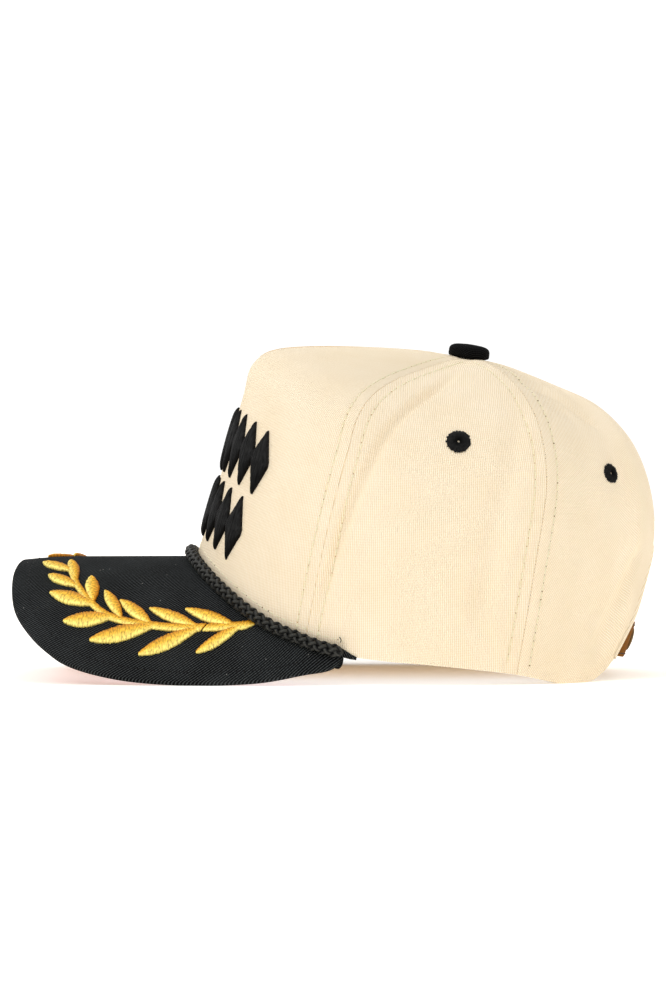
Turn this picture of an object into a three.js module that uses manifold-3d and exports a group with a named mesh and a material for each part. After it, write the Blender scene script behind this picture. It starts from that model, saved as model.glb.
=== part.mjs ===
// A five-panel trucker cap with a rope across its front, lying on a table as it rests by itself.
// Millimetres, +Z up. The origin is on the table under the middle of the cap, the brim points
// along -Y and the wearer's left is +X. A place on the crown is given by its azimuth, in degrees
// from 0 at the centre front to 180 at the centre back and negative on the wearer's right, and by
// its level, from 0 at the rim to 10 under the top button.
import * as THREE from "three";
import { mergeVertices } from "three/addons/utils/BufferGeometryUtils.js";
import Module from "manifold-3d";

const wasm = await Module();
wasm.setup();

// Driving dimensions
const WALL = 1.6; // crown cloth with its backing
const GAP = 0.3; // between pieces that meet
const FRONT_SEAM = 64.7; // azimuth where the front panel meets the side panels
const BACK_SEAM = 115; // azimuth where the side panels meet the back panels, low on the crown
const BACK_SEAM_LEAN = 4.4; // degrees that this seam has come forward by
const LEAN_FOOT = 3.4; // from this level
const LEAN_HEIGHT = 3.5; // over so many levels
const BACK_CENTRE = 180; // azimuth of the seam between the back panels
const FRONT_SQUARE = 2.1; // how square the outline is in front, 2 being an ellipse
const BACK_SQUARE = 2.35;
const BUTTON_HOLE_LEVEL = 9.72; // the panels stop here, round the button's shank

const RIDGE_HEIGHT = 52.1; // top of the brim along its middle, where it leaves the crown
const RIDGE_FALL = 0.003; // how far the ridge falls for each millimetre forward
const NOSE_START = -112; // from this Y forward it also bends down
const NOSE_LENGTH = 25;
const NOSE_DROP = 1.4; // by so much at the front edge
const SHOULDER_RISE = 1.7; // the brim stands higher than its arch beside the crown's front corners
const SHOULDER_MIDDLE = -12; // most at this Y
const SHOULDER_LENGTH = 22; // and no more at so far before and behind it
const BRIM_THICKNESS = 3;
const BRIM_AZIMUTH = 76; // the brim is sewn on from here to the same azimuth on the other side
const BRIM_CLEARANCE = 0.6; // between the brim's inner edge and the crown
const BRIM_SINK = 0.9; // how far the brim's cloth sinks into its seam with the crown
const ARCH_FRONT = 57; // radius of the brim's arch along its outer part
const ARCH_RISE = 15; // how much flatter the arch is where it meets the crown
const ARCH_FADE = 0.2; // how fast it tightens away from the crown
const TUCK = 2; // how far the crown's rim sits below the brim's top face
const TUCK_END = 78; // azimuth behind the brim where the rim is free of it
const TUCK_FADE = 12; // degrees over which it comes out

const ROPE_RADIUS = 2.6;
const ROPE_LEVEL = 0.211; // level of the rope's middle at the centre front
const ROPE_FALL = 0.0017; // how far its level falls for each degree to the side
const ROPE_AZIMUTH = 76;
const ROPE_SIDES = 8;
const ROPE_STEPS = 36; // short straight lengths that the round bar is made of

const EYELET_HOLE = 0.5;
const EYELET_COLLAR = 1.3;
const EYELET_HEIGHT = 1;
const EYELET_BEVEL = 0.5; // how far the ring's rounded outer edge comes in
const EYELET_LIP = 1.6; // width of the slope from the ring's top down to its hole

const BUTTON_RADIUS = 9;
const BUTTON_HEIGHT = 5.8;
const BUTTON_FOOT = 0.6; // height of its lower face over the place where the panels meet
const BUTTON_TILT = 8; // degrees, down to the back
const BUTTON_BEND = 0.01; // how far its sides come down, for each square millimetre sideways
const BUTTON_Y = 58.3;
const SHANK_RADIUS = 2;
const SHANK_DEPTH = 3;

const OPENING_HALF_WIDTH = 37;
const OPENING_FOOT = 7;
const OPENING_TOP = 57;
const OPENING_FRONT = 70; // the cutter reaches from this Y
const OPENING_BACK = 170; // to this one, behind the cap

const STRAP_HEIGHT = 15.6;
const STRAP_MIDDLE = 15.1; // height of the strap's middle at the centre back
const STRAP_RISE = 2.4; // how much higher it is where it meets the panels
const LEATHER = 1.6;
const STRAP_ROOT = 146; // azimuth where the strap is sewn in behind the panels
const STRAP_OVERLAP = 10; // degrees that each strap passes the centre back by
const STRAP_ROUNDING = 0.14; // share of the strap's length that its round end takes
const INNER_STRAP_START = 154; // azimuth from where the inner strap turns in behind the outer one
const INNER_STRAP_END = 166; // and where it lies behind it
const STUD_SHANK = 1.6;
const STUD_HEAD = 5.2;
const STUD_DOME = 1.9; // height of the head's middle over the strap
const STUD_BEVEL = 0.7; // and how much lower its edge is
const STUD_CLENCH = 1; // thickness of the stud's flat foot on the inside

const BAND_THICKNESS = 1.2;
const BAND_GAP = 0.5; // between the sweatband and the cloth
const BAND_END = 153; // azimuth where the sweatband ends beside the opening
const BAND_LOW = 0.03; // level of its lower edge
const BAND_HIGH = 1.5; // and of its upper edge

function table(names, rows) {
  const keys = names.split(" ");
  return rows.map((row) => Object.fromEntries(keys.map((key, i) => [key, row[i]])));
}

// One row for each level: where the crown's outline stands at its front, side and back.
const CROWN = table("frontY frontZ sideX sideZ middleY backY backZ", [
  [-61.7, 50, 78, 10.5, 26, 127.7, 7],
  [-56.5, 67, 82, 32, 29, 133.5, 25],
  [-51, 86, 84, 52, 32, 136.5, 42],
  [-45.3, 106, 83.5, 72, 36, 139, 60],
  [-40.5, 123, 80, 90, 41, 138.3, 77],
  [-37, 135.5, 73.5, 104, 45, 134.2, 92.5],
  [-28, 142, 64, 115, 49, 126.5, 106],
  [-9, 143.9, 50, 124, 53, 114, 118.2],
  [19, 143.3, 33, 131.5, 56, 97, 126],
  [42, 141.5, 16, 136.7, 58, 76, 135],
  [59, 139, 0, 139, 59, 59, 139],
]);

// The rim behind the brim: it drops to the table on both sides and lifts to the strap at the back.
const RIM = table("azimuth height", [
  [90, 9.4],
  [104, 6.6],
  [115, 4.2],
  [124, 1.4],
  [129, 0],
  [139, 0],
  [147, 3.9],
  [154, 8.4],
  [167, 7.5],
  [180, 7],
]);

// Soft creases pressed into the crown. Each runs up from a low to a high level while its azimuth
// goes from one value to the other, turning late where bend is large. Width is half of the dent's.
const CREASES = table("lowLevel highLevel lowAzimuth highAzimuth bend width depth", [
  [0.1, 8.3, 67.9, 87, 2.4, 6.5, 2],
  [0.05, 6.8, 103.5, 107.5, 2.5, 9, 1],
  [5.8, 7.8, 124.5, 116.5, 1, 6, 0.8],
  [5.6, 7.5, 138, 119.5, 1, 6, 0.9],
  [1.55, 2.9, 146.5, 155.5, 1, 7, 1],
]);

// The pinched seam that runs back along the top of the front panel.
const PINCH = { lowLevel: 5.2, highLevel: 9.5, height: 0.5, azimuth: 1.8 };

// Half of the brim's outline seen from above, from its middle to its end beside the crown.
const BRIM_OUTLINE = table("x y", [
  [0, -136.7],
  [26.7, -138.3],
  [43.8, -136.3],
  [51.2, -133.4],
  [59.8, -126.6],
  [65.3, -119.7],
  [69.3, -112.4],
  [74.2, -91.6],
  [78.2, -44],
  [79, -14],
  [78.6, -3],
  [77.1, 2.5],
]);

// The laurel's stem and leaves on the left half of the brim, seen from above.
const STEM = table("x y", [
  [61.9, -37],
  [60.5, -54],
  [58.5, -73.2],
  [53.5, -95],
  [47.2, -103.2],
  [37.5, -110],
  [26.5, -113.8],
]);
const LEAVES = table("baseX baseY tipX tipY width", [
  [34.5, -110.8, 15.2, -115, 5.5],
  [47.1, -102.7, 31.5, -104.5, 6],
  [54.9, -89.9, 40.8, -98, 5],
  [57.7, -77.1, 46, -91.2, 5.1],
  [59.9, -57.6, 50.5, -78.5, 4.5],
  [61.3, -42, 52, -63.2, 4.4],
  [27, -114, 16.5, -126.8, 7],
  [38.2, -110.4, 29.5, -123.2, 6.6],
  [48.2, -102.4, 41, -121.5, 7.2],
  [53.9, -93.6, 55, -114.5, 6.2],
  [58.1, -75.4, 62.5, -102.8, 5.9],
  [60.3, -56.4, 68, -82, 5.2],
  [61.7, -39.5, 68.7, -58, 4],
]);
const RIGHT_SHIFT = 12; // the right laurel's tip is sewn this much nearer the brim's middle
const STEM_WIDTH = 2;
const LEAF_TIP = 0.15; // half of a leaf's width at its two ends
const SATIN_EDGE = 0.4; // height of the embroidery at its edge
const SATIN_MIDDLE = 1.1; // and along its middle

// Two rows of raised lozenges across the front panel.
const LOZENGES = table("name low high count", [
  ["motif_upper_row", 2.2, 3.62, 10],
  ["motif_lower_row", 0.68, 2.06, 9],
]);
const LOZENGE_PITCH = 7.8; // degrees from one lozenge to the next
const LOZENGE_JOIN = 0.09; // height of the neck between two, as a share of their own
const PUFF_EDGE = 1;
const PUFF_MIDDLE = 1.9;

// Places where a panel gets a row or a column of vertices
const LEVELS = [0, 0.5, 1, 2, 3, 4, 4.6, 5.1, 5.6, 6.2, 7, 8, 9, BUTTON_HOLE_LEVEL];
const FRONT_COLUMNS = [0, 1.8, 6, 12, 18, 24, 30, 36, 42, 48, 54, 60, FRONT_SEAM];
const SIDE_COLUMNS = [
  FRONT_SEAM, 66.2, 68, 70, 72.5, 75.5, 79, 83, 87, 92, 97.5, 103.5, 109, BACK_SEAM,
];
const BACK_COLUMNS = [
  BACK_SEAM, 120, 124.5, 129, 135, 139, 143, 147, 151, 156, 161, 167, 173, BACK_CENTRE,
];

const CREAM = new THREE.MeshStandardMaterial({ color: 0xfbecd2, roughness: 0.9 });
const BLACK_TWILL = new THREE.MeshStandardMaterial({ color: 0x1c1c1d, roughness: 0.9 });
const BLACK_THREAD = new THREE.MeshStandardMaterial({ color: 0x121213, roughness: 0.6 });
const BLACK_CORD = new THREE.MeshStandardMaterial({ color: 0x161617, roughness: 0.7 });
const GOLD_THREAD = new THREE.MeshStandardMaterial({ color: 0xeab54a, roughness: 0.5 });
const BROWN_LEATHER = new THREE.MeshStandardMaterial({ color: 0x7a4a18, roughness: 0.6 });
const WHITE_COTTON = new THREE.MeshStandardMaterial({ color: 0xf1ece2, roughness: 0.95 });
const DARK_BRASS = new THREE.MeshStandardMaterial({ color: 0x6b5636, roughness: 0.4, metalness: 1 });

const lerp = THREE.MathUtils.lerp;
const smoothstep = THREE.MathUtils.smoothstep;
const radians = THREE.MathUtils.degToRad;
const cap = new THREE.Group();

// The same place's azimuth on the wearer's left, from 0 to 180.
const leftAzimuth = (azimuth) => 180 - Math.abs(Math.abs(azimuth) - 180);

function addPiece(name, geometry, material) {
  const mesh = new THREE.Mesh(geometry, material);
  mesh.name = name;
  cap.add(mesh);
  return mesh;
}

// Smooth curve through the rows of a table, with no overshoot between them.
function heightAlong(rows, azimuth) {
  const slopes = rows.slice(1).map((row, i) => (row.height - rows[i].height) / (row.azimuth - rows[i].azimuth));
  const tangents = rows.map((row, i) => {
    const before = slopes[Math.max(i - 1, 0)];
    const after = slopes[Math.min(i, slopes.length - 1)];
    return before * after <= 0 ? 0 : (2 * before * after) / (before + after);
  });
  const next = Math.max(1, rows.findIndex((row) => row.azimuth >= azimuth));
  const low = rows[next - 1];
  const high = rows[next];
  const span = high.azimuth - low.azimuth;
  const u = (azimuth - low.azimuth) / span;
  return (
    (1 + 2 * u) * (1 - u) ** 2 * low.height +
    u * (1 - u) ** 2 * span * tangents[next - 1] +
    u * u * (3 - 2 * u) * high.height +
    u * u * (u - 1) * span * tangents[next]
  );
}

// Two half superellipses that meet at the sides, rising and falling with the azimuth.
function outlinePoint(row, azimuth) {
  const c = Math.cos(radians(azimuth));
  const s = Math.sin(radians(azimuth));
  const power = 2 / (c > 0 ? FRONT_SQUARE : BACK_SQUARE);
  const reach = c > 0 ? row.middleY - row.frontY : row.backY - row.middleY;
  const height = c > 0 ? row.frontZ : row.backZ;
  return new THREE.Vector3(
    row.sideX * Math.sign(s) * Math.abs(s) ** power,
    row.middleY - reach * Math.sign(c) * Math.abs(c) ** power,
    row.sideZ + (height - row.sideZ) * c * c,
  );
}

// The brim's top face is an arch across its width that tightens away from the crown, along a
// ridge that is almost straight and bends down at the front. It has a low shoulder on each side,
// beside the crown.
function brimHeight(x, y) {
  const rim = CROWN[0];
  const across = (Math.abs(x) / rim.sideX) ** FRONT_SQUARE;
  const along = (Math.abs(rim.middleY - y) / (rim.middleY - rim.frontY)) ** FRONT_SQUARE;
  const outside = Math.max((across + along) ** (1 / FRONT_SQUARE) - 1, 0);
  const atCrown = Math.exp(-outside / ARCH_FADE);
  const arch = ARCH_FRONT + ARCH_RISE * atCrown;
  const nose = Math.max(NOSE_START - y, 0) / NOSE_LENGTH;
  const ridge = RIDGE_HEIGHT - RIDGE_FALL * Math.max(rim.frontY - y, 0) - NOSE_DROP * nose ** 2;
  const fromShoulder = Math.min(Math.abs(y - SHOULDER_MIDDLE) / SHOULDER_LENGTH, 1);
  const shoulder = (SHOULDER_RISE / 2) * (1 + Math.cos(Math.PI * fromShoulder));
  return ridge - (x * x) / (2 * arch) + shoulder * atCrown;
}

// Under the brim the rim follows its arch; behind the brim it follows the table.
function rimHeight(azimuth) {
  const around = leftAzimuth(azimuth);
  const onBrim = (angle) => {
    const point = outlinePoint(CROWN[0], angle);
    return brimHeight(point.x, point.y);
  };
  if (around < TUCK_END) {
    return onBrim(around) - TUCK * (1 - smoothstep(around, TUCK_END - TUCK_FADE, TUCK_END));
  }
  return heightAlong([{ azimuth: TUCK_END, height: onBrim(TUCK_END) }, ...RIM], around);
}

// Catmull-Rom curve from rim to button through the levels' outlines at one azimuth.
function smoothCrownPoint(azimuth, level) {
  const last = CROWN.length - 1;
  const below = Math.min(Math.floor(Math.max(level, 0)), last - 1);
  const u = level - below;
  const at = (k) => {
    const point = outlinePoint(CROWN[k], azimuth);
    if (k === 0) point.z = rimHeight(azimuth);
    return point;
  };
  const p1 = at(below);
  const p2 = at(below + 1);
  const p0 = below > 0 ? at(below - 1) : p1.clone().multiplyScalar(2).sub(p2);
  const p3 = below + 2 <= last ? at(below + 2) : p2.clone().multiplyScalar(2).sub(p1);
  return p1
    .clone()
    .multiplyScalar(2)
    .addScaledVector(p2.clone().sub(p0), u)
    .addScaledVector(
      p0.clone().multiplyScalar(2).addScaledVector(p1, -5).addScaledVector(p2, 4).sub(p3),
      u * u,
    )
    .addScaledVector(p1.clone().sub(p2).multiplyScalar(3).add(p3).sub(p0), u ** 3)
    .multiplyScalar(0.5);
}

function crownNormal(azimuth, level) {
  const low = Math.min(Math.max(level, 0.02), 9.9);
  const around = smoothCrownPoint(azimuth + 0.5, low).sub(smoothCrownPoint(azimuth - 0.5, low));
  const up = smoothCrownPoint(azimuth, low + 0.02).sub(smoothCrownPoint(azimuth, low - 0.02));
  return around.cross(up).normalize();
}

// How far the cloth stands in front of the smooth crown: minus in a crease, plus on the pinch.
function relief(azimuth, level) {
  const around = leftAzimuth(azimuth);
  const fade = 0.18;
  let out = 0;
  if (level > PINCH.lowLevel && level < PINCH.highLevel && around < PINCH.azimuth) {
    const along = (level - PINCH.lowLevel) / (PINCH.highLevel - PINCH.lowLevel);
    const ends = smoothstep(along, 0, fade) * smoothstep(1 - along, 0, fade);
    out += PINCH.height * ends * (1 - around / PINCH.azimuth);
  }
  for (const crease of CREASES) {
    const along = (level - crease.lowLevel) / (crease.highLevel - crease.lowLevel);
    if (along <= 0 || along >= 1) continue;
    const middle = lerp(crease.lowAzimuth, crease.highAzimuth, along ** crease.bend);
    const away = smoothCrownPoint(around, level).distanceTo(smoothCrownPoint(middle, level));
    if (away >= crease.width) continue;
    const ends = smoothstep(along, 0, fade) * smoothstep(1 - along, 0, fade);
    out -= 0.5 * crease.depth * ends * (1 + Math.cos((Math.PI * away) / crease.width));
  }
  return out;
}

// A point at a depth inside the crown's outer face, or outside it where the depth is negative.
function crownPoint(azimuth, level, depth = 0) {
  const out = relief(azimuth, level) - depth;
  return smoothCrownPoint(azimuth, level).addScaledVector(crownNormal(azimuth, level), out);
}

function levelAtHeight(azimuth, height) {
  let low = 0;
  let high = 4;
  for (let halving = 0; halving < 24; halving += 1) {
    const middle = (low + high) / 2;
    if (smoothCrownPoint(azimuth, middle).z < height) low = middle;
    else high = middle;
  }
  return (low + high) / 2;
}

function signedVolume(positions, triangles) {
  const corner = (i) => new THREE.Vector3().fromArray(positions, 3 * triangles[i]);
  let volume = 0;
  for (let i = 0; i < triangles.length; i += 3) {
    volume += corner(i).dot(corner(i + 1).cross(corner(i + 2))) / 6;
  }
  return volume;
}

// A closed body through a row of rings. Each ring goes out along one face and back along the
// other, so its two ends are closed by a zip of triangles between the faces.
function loft(rings) {
  const size = rings[0].length;
  const positions = rings.flatMap((ring) => ring.flatMap((point) => point.toArray()));
  const triangles = [];
  for (let i = 0; i + 1 < rings.length; i += 1) {
    for (let j = 0; j < size; j += 1) {
      const a = i * size + j;
      const b = i * size + ((j + 1) % size);
      triangles.push(a, b, a + size, b, b + size, a + size);
    }
  }
  const end = (rings.length - 1) * size;
  for (let j = 0; 2 * j + 2 < size; j += 1) {
    const back = size - 1 - j;
    triangles.push(j, back, j + 1, end + j, end + j + 1, end + back);
    if (j + 1 < back - 1) {
      triangles.push(j + 1, back, back - 1, end + j + 1, end + back - 1, end + back);
    }
  }
  if (signedVolume(positions, triangles) < 0) triangles.reverse();
  const geometry = new THREE.BufferGeometry();
  geometry.setAttribute("position", new THREE.Float32BufferAttribute(positions, 3));
  geometry.setIndex(triangles);
  return geometry;
}

function toManifold(geometry) {
  const bare = new THREE.BufferGeometry();
  bare.setAttribute("position", geometry.attributes.position);
  bare.setIndex(geometry.index);
  const merged = mergeVertices(bare, 1e-4);
  const mesh = new wasm.Mesh({
    numProp: 3,
    vertProperties: new Float32Array(merged.attributes.position.array),
    triVerts: new Uint32Array(merged.index.array),
  });
  return new wasm.Manifold(mesh);
}

function toGeometry(manifold) {
  const mesh = manifold.getMesh();
  const geometry = new THREE.BufferGeometry();
  geometry.setAttribute("position", new THREE.Float32BufferAttribute(mesh.vertProperties, 3));
  geometry.setIndex(Array.from(mesh.triVerts));
  return geometry;
}

// Turns a shape made along +Y so that it points out of the crown at a place on its outer face.
function seatOnCrown(azimuth, level, depth) {
  const out = crownNormal(azimuth, level);
  const turn = new THREE.Quaternion().setFromUnitVectors(new THREE.Vector3(0, 1, 0), out);
  const place = smoothCrownPoint(azimuth, level).addScaledVector(out, -depth);
  return new THREE.Matrix4().compose(place, turn, new THREE.Vector3(1, 1, 1));
}

// Where a seam stands at a level. The one between side and back leans forward high on the crown.
function seamAzimuth(seam, level) {
  if (seam !== BACK_SEAM) return seam;
  const above = THREE.MathUtils.clamp((level - LEAN_FOOT) / LEAN_HEIGHT, 0, 1.25);
  return seam - BACK_SEAM_LEAN * above ** 1.3;
}

// A crown panel between two seams. Its edges keep half a gap to each seam, measured in millimetres.
function panelGeometry(columns, side) {
  const inset = (azimuth, level) => {
    const step = 0.1;
    const ahead = smoothCrownPoint(azimuth + step / 2, level);
    return (step * GAP) / 2 / ahead.distanceTo(smoothCrownPoint(azimuth - step / 2, level));
  };
  const point = (column, level, depth) => {
    const first = seamAzimuth(columns[0], level);
    const last = seamAzimuth(columns.at(-1), level);
    const share = (column - columns[0]) / (columns.at(-1) - columns[0]);
    const azimuth = side * lerp(first + inset(first, level), last - inset(last, level), share);
    const place = crownPoint(azimuth, level, depth);
    if (level === 0) place.z = rimHeight(azimuth);
    return place;
  };
  return loft(columns.map((column) => [
    ...LEVELS.map((level) => point(column, level, 0)),
    ...LEVELS.toReversed().map((level) => point(column, level, WALL)),
  ]));
}

// Front panel: one piece of backed cloth with a pinched seam along its top
const mirroredFront = [...FRONT_COLUMNS.slice(1).reverse().map((azimuth) => -azimuth), ...FRONT_COLUMNS];
addPiece("front_panel", panelGeometry(mirroredFront, 1), CREAM);

// Side and back panels, each with the hole of its eyelet, and the half-moon cut out of the back pair
const EYELETS = table("panel azimuth level radius", [
  ["side", 92.6, 4.74, 5.2],
  ["back", 137, 4.3, 4.5],
]);
const openingShape = new THREE.Shape();
openingShape.moveTo(-OPENING_HALF_WIDTH, -OPENING_FOOT);
openingShape.lineTo(OPENING_HALF_WIDTH, -OPENING_FOOT);
openingShape.lineTo(OPENING_HALF_WIDTH, OPENING_FOOT);
const openingHeight = OPENING_TOP - OPENING_FOOT;
openingShape.absellipse(0, OPENING_FOOT, OPENING_HALF_WIDTH, openingHeight, 0, Math.PI, false, 0);
const openingCutter = new THREE.ExtrudeGeometry(openingShape, {
  depth: OPENING_BACK - OPENING_FRONT,
  curveSegments: 12,
  bevelEnabled: false,
});
openingCutter.rotateX(Math.PI / 2);
openingCutter.translate(0, OPENING_BACK, 0);

for (const [label, side] of [["left", 1], ["right", -1]]) {
  for (const { panel, azimuth, level, radius } of EYELETS) {
    const columns = panel === "side" ? SIDE_COLUMNS : BACK_COLUMNS;
    const punch = new THREE.CylinderGeometry(EYELET_COLLAR + GAP, EYELET_COLLAR + GAP, 8 * WALL, 12);
    punch.applyMatrix4(seatOnCrown(side * azimuth, level, 0));
    let cloth = toManifold(panelGeometry(columns, side)).subtract(toManifold(punch));
    if (panel === "back") cloth = cloth.subtract(toManifold(openingCutter));
    addPiece(`${panel}_panel_${label}`, toGeometry(cloth), CREAM);

    // The eyelet is a stitched ring on the cloth whose collar goes through to the inside
    const profile = [
      [EYELET_HOLE, -WALL],
      [EYELET_COLLAR, -WALL],
      [EYELET_COLLAR, GAP],
      [radius, GAP],
      [radius - EYELET_BEVEL, EYELET_HEIGHT],
      [EYELET_HOLE + EYELET_LIP, EYELET_HEIGHT + GAP],
      [EYELET_HOLE, EYELET_HEIGHT - GAP],
      [EYELET_HOLE, -WALL],
    ];
    const ring = new THREE.LatheGeometry(profile.map(([r, h]) => new THREE.Vector2(r, h)), 16);
    ring.applyMatrix4(seatOnCrown(side * azimuth, level, 0));
    addPiece(`eyelet_${panel}_${label}`, ring, BLACK_THREAD);
  }
}

// Top button: a covered dome whose shank goes down through the hole where the panels meet. Its
// lower edge, side, shoulder and dome follow one another in the profile, and its sides bend down
// with the crown.
const buttonProfile = [
  [0, -SHANK_DEPTH],
  [SHANK_RADIUS, -SHANK_DEPTH],
  [SHANK_RADIUS, BUTTON_FOOT],
  [0.93 * BUTTON_RADIUS, BUTTON_FOOT],
  [BUTTON_RADIUS, BUTTON_FOOT + 0.14 * BUTTON_HEIGHT],
  [BUTTON_RADIUS, 0.67 * BUTTON_HEIGHT],
  [0.92 * BUTTON_RADIUS, 0.88 * BUTTON_HEIGHT],
  [0.73 * BUTTON_RADIUS, BUTTON_HEIGHT],
  [0, 1.07 * BUTTON_HEIGHT],
];
const buttonDome = new THREE.LatheGeometry(buttonProfile.map(([r, h]) => new THREE.Vector2(r, h)), 20);
const domePlaces = buttonDome.attributes.position;
for (let i = 0; i < domePlaces.count; i += 1) {
  domePlaces.setY(i, domePlaces.getY(i) - BUTTON_BEND * domePlaces.getX(i) ** 2);
}
const button = addPiece("top_button", buttonDome, BLACK_TWILL);
button.position.set(0, BUTTON_Y, CROWN.at(-1).sideZ);
button.rotation.x = Math.PI / 2 - radians(BUTTON_TILT);

// Brim: a stiff board in black twill, arched from side to side
const outlineCurve = new THREE.CatmullRomCurve3(
  BRIM_OUTLINE.map(({ x, y }) => new THREE.Vector3(x, y, 0)),
  false,
  "centripetal",
);
function brimTop(x, y, lift = 0) {
  const step = 0.05;
  const slopeX = (brimHeight(x + step, y) - brimHeight(x - step, y)) / (2 * step);
  const slopeY = (brimHeight(x, y + step) - brimHeight(x, y - step)) / (2 * step);
  const normal = new THREE.Vector3(-slopeX, -slopeY, 1).normalize();
  return new THREE.Vector3(x, y, brimHeight(x, y)).addScaledVector(normal, lift);
}
function brimRing(along) {
  const around = Math.abs(along);
  const side = Math.sign(along) || 1;
  const rim = outlinePoint(CROWN[0], around * BRIM_AZIMUTH);
  const out = crownNormal(around * BRIM_AZIMUTH, 0).setZ(0).normalize();
  const inner = rim.addScaledVector(out, BRIM_CLEARANCE);
  const outer = outlineCurve.getPointAt(around);
  const shares = [0, 0.15, 0.35, 0.6, 0.82, 1];
  const upright = 0.3; // up to this share the board's inner edge turns from upright to square
  const top = shares.map((share) => {
    return brimTop(side * lerp(inner.x, outer.x, share), lerp(inner.y, outer.y, share));
  });
  const bottom = top.map((point, i) => {
    const under = brimTop(point.x, point.y, -BRIM_THICKNESS);
    const straightDown = point.clone().setZ(point.z - BRIM_THICKNESS ** 2 / (point.z - under.z));
    return straightDown.lerp(under, smoothstep(shares[i], 0, upright));
  });
  top[0].z -= BRIM_SINK;
  const bulge = BRIM_THICKNESS / 5;
  const edge = top.at(-1).clone().sub(top.at(-2)).normalize();
  const nose = top.at(-1).clone().add(bottom.at(-1)).multiplyScalar(0.5).addScaledVector(edge, bulge);
  return [...top, nose, ...bottom.reverse()];
}
const HALF_BRIM = [
  0.07, 0.14, 0.2, 0.25, 0.29, 0.33, 0.37, 0.41, 0.46, 0.53, 0.61, 0.7, 0.79, 0.87, 0.94, 0.98, 1,
];
const brimStations = [...HALF_BRIM.toReversed().map((along) => -along), 0, ...HALF_BRIM];
addPiece("brim", loft(brimStations.map(brimRing)), BLACK_TWILL);

// Rope: laid in the corner between the crown and the brim
const halfStations = 28;
const ropePoints = [];
for (let i = -halfStations; i <= halfStations; i += 1) {
  const azimuth = (ROPE_AZIMUTH * i) / halfStations;
  const level = ROPE_LEVEL - ROPE_FALL * Math.abs(azimuth);
  ropePoints.push(crownPoint(azimuth, level, -(GAP + ROPE_RADIUS)));
}
const ropeSection = new THREE.Shape();
for (let side = 0; side < ROPE_SIDES; side += 1) {
  const angle = (2 * Math.PI * side) / ROPE_SIDES;
  const corner = [ROPE_RADIUS * Math.cos(angle), ROPE_RADIUS * Math.sin(angle)];
  if (side === 0) ropeSection.moveTo(...corner);
  else ropeSection.lineTo(...corner);
}
const rope = new THREE.ExtrudeGeometry(ropeSection, {
  steps: ROPE_STEPS,
  bevelEnabled: false,
  extrudePath: new THREE.CatmullRomCurve3(ropePoints),
});
addPiece("rope", rope, BLACK_CORD);

// Two rows of raised lozenges, each row one body that follows the front panel
for (const { name, low, high, count } of LOZENGES) {
  const rings = [];
  const steps = 4 * count;
  for (let i = 0; i <= steps; i += 1) {
    const azimuth = LOZENGE_PITCH * (i / 4 - count / 2);
    const fullness = 1 - Math.abs(((i / 4) % 1) * 2 - 1);
    const half = ((high - low) / 2) * lerp(LOZENGE_JOIN, 1, fullness);
    const middle = (low + high) / 2;
    const levels = [middle - half, middle, middle + half];
    const heights = [PUFF_EDGE, PUFF_MIDDLE, PUFF_EDGE];
    rings.push([
      ...levels.map((level, k) => crownPoint(azimuth, level, -GAP - heights[k])),
      ...levels.toReversed().map((level) => crownPoint(azimuth, level, -GAP)),
    ]);
  }
  addPiece(name, loft(rings), BLACK_THREAD);
}

// A laurel branch on each half of the brim, its leaves joined to the stem. A leaf's underside is
// lifted over its root, the first quarter of it, so that it lies on the stem there.
function satinRibbon(centre, halfWidth, stations, side, rootLift = 0) {
  const rings = [];
  for (let i = 0; i <= stations; i += 1) {
    const u = i / stations;
    const place = centre(u);
    const ahead = centre(Math.min(u + 0.01, 1)).sub(centre(Math.max(u - 0.01, 0))).normalize();
    const across = new THREE.Vector3(-ahead.y, ahead.x, 0).multiplyScalar(halfWidth(u));
    const at = (share, lift) => {
      const y = place.y + share * across.y;
      const forward = THREE.MathUtils.clamp((STEM[0].y - y) / (STEM[0].y - STEM.at(-1).y), 0, 1);
      const shift = side < 0 ? RIGHT_SHIFT * forward ** 1.5 : 0;
      return brimTop(side * (place.x + share * across.x - shift), y, lift);
    };
    const bottom = GAP + rootLift * (1 - smoothstep(u, 0, 0.25));
    rings.push([
      at(-1, GAP + SATIN_EDGE),
      at(0, GAP + lerp(SATIN_EDGE, SATIN_MIDDLE, Math.min(1, halfWidth(u)))),
      at(1, GAP + SATIN_EDGE),
      at(0, bottom),
    ]);
  }
  return toManifold(loft(rings));
}
const stemCurve = new THREE.CatmullRomCurve3(STEM.map(({ x, y }) => new THREE.Vector3(x, y, 0)));
for (const [label, side] of [["left", 1], ["right", -1]]) {
  let laurel = satinRibbon((u) => stemCurve.getPointAt(u), () => STEM_WIDTH / 2, 14, side);
  for (const { baseX, baseY, tipX, tipY, width } of LEAVES) {
    const centre = (u) => new THREE.Vector3(lerp(baseX, tipX, u), lerp(baseY, tipY, u), 0);
    const halfWidth = (u) => LEAF_TIP + (width / 2) * Math.sin(Math.PI * u ** 1.1) ** 0.85;
    laurel = laurel.add(satinRibbon(centre, halfWidth, 5, side, SATIN_EDGE / 2));
  }
  addPiece(`laurel_${label}`, toGeometry(laurel), GOLD_THREAD);
}

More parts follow.
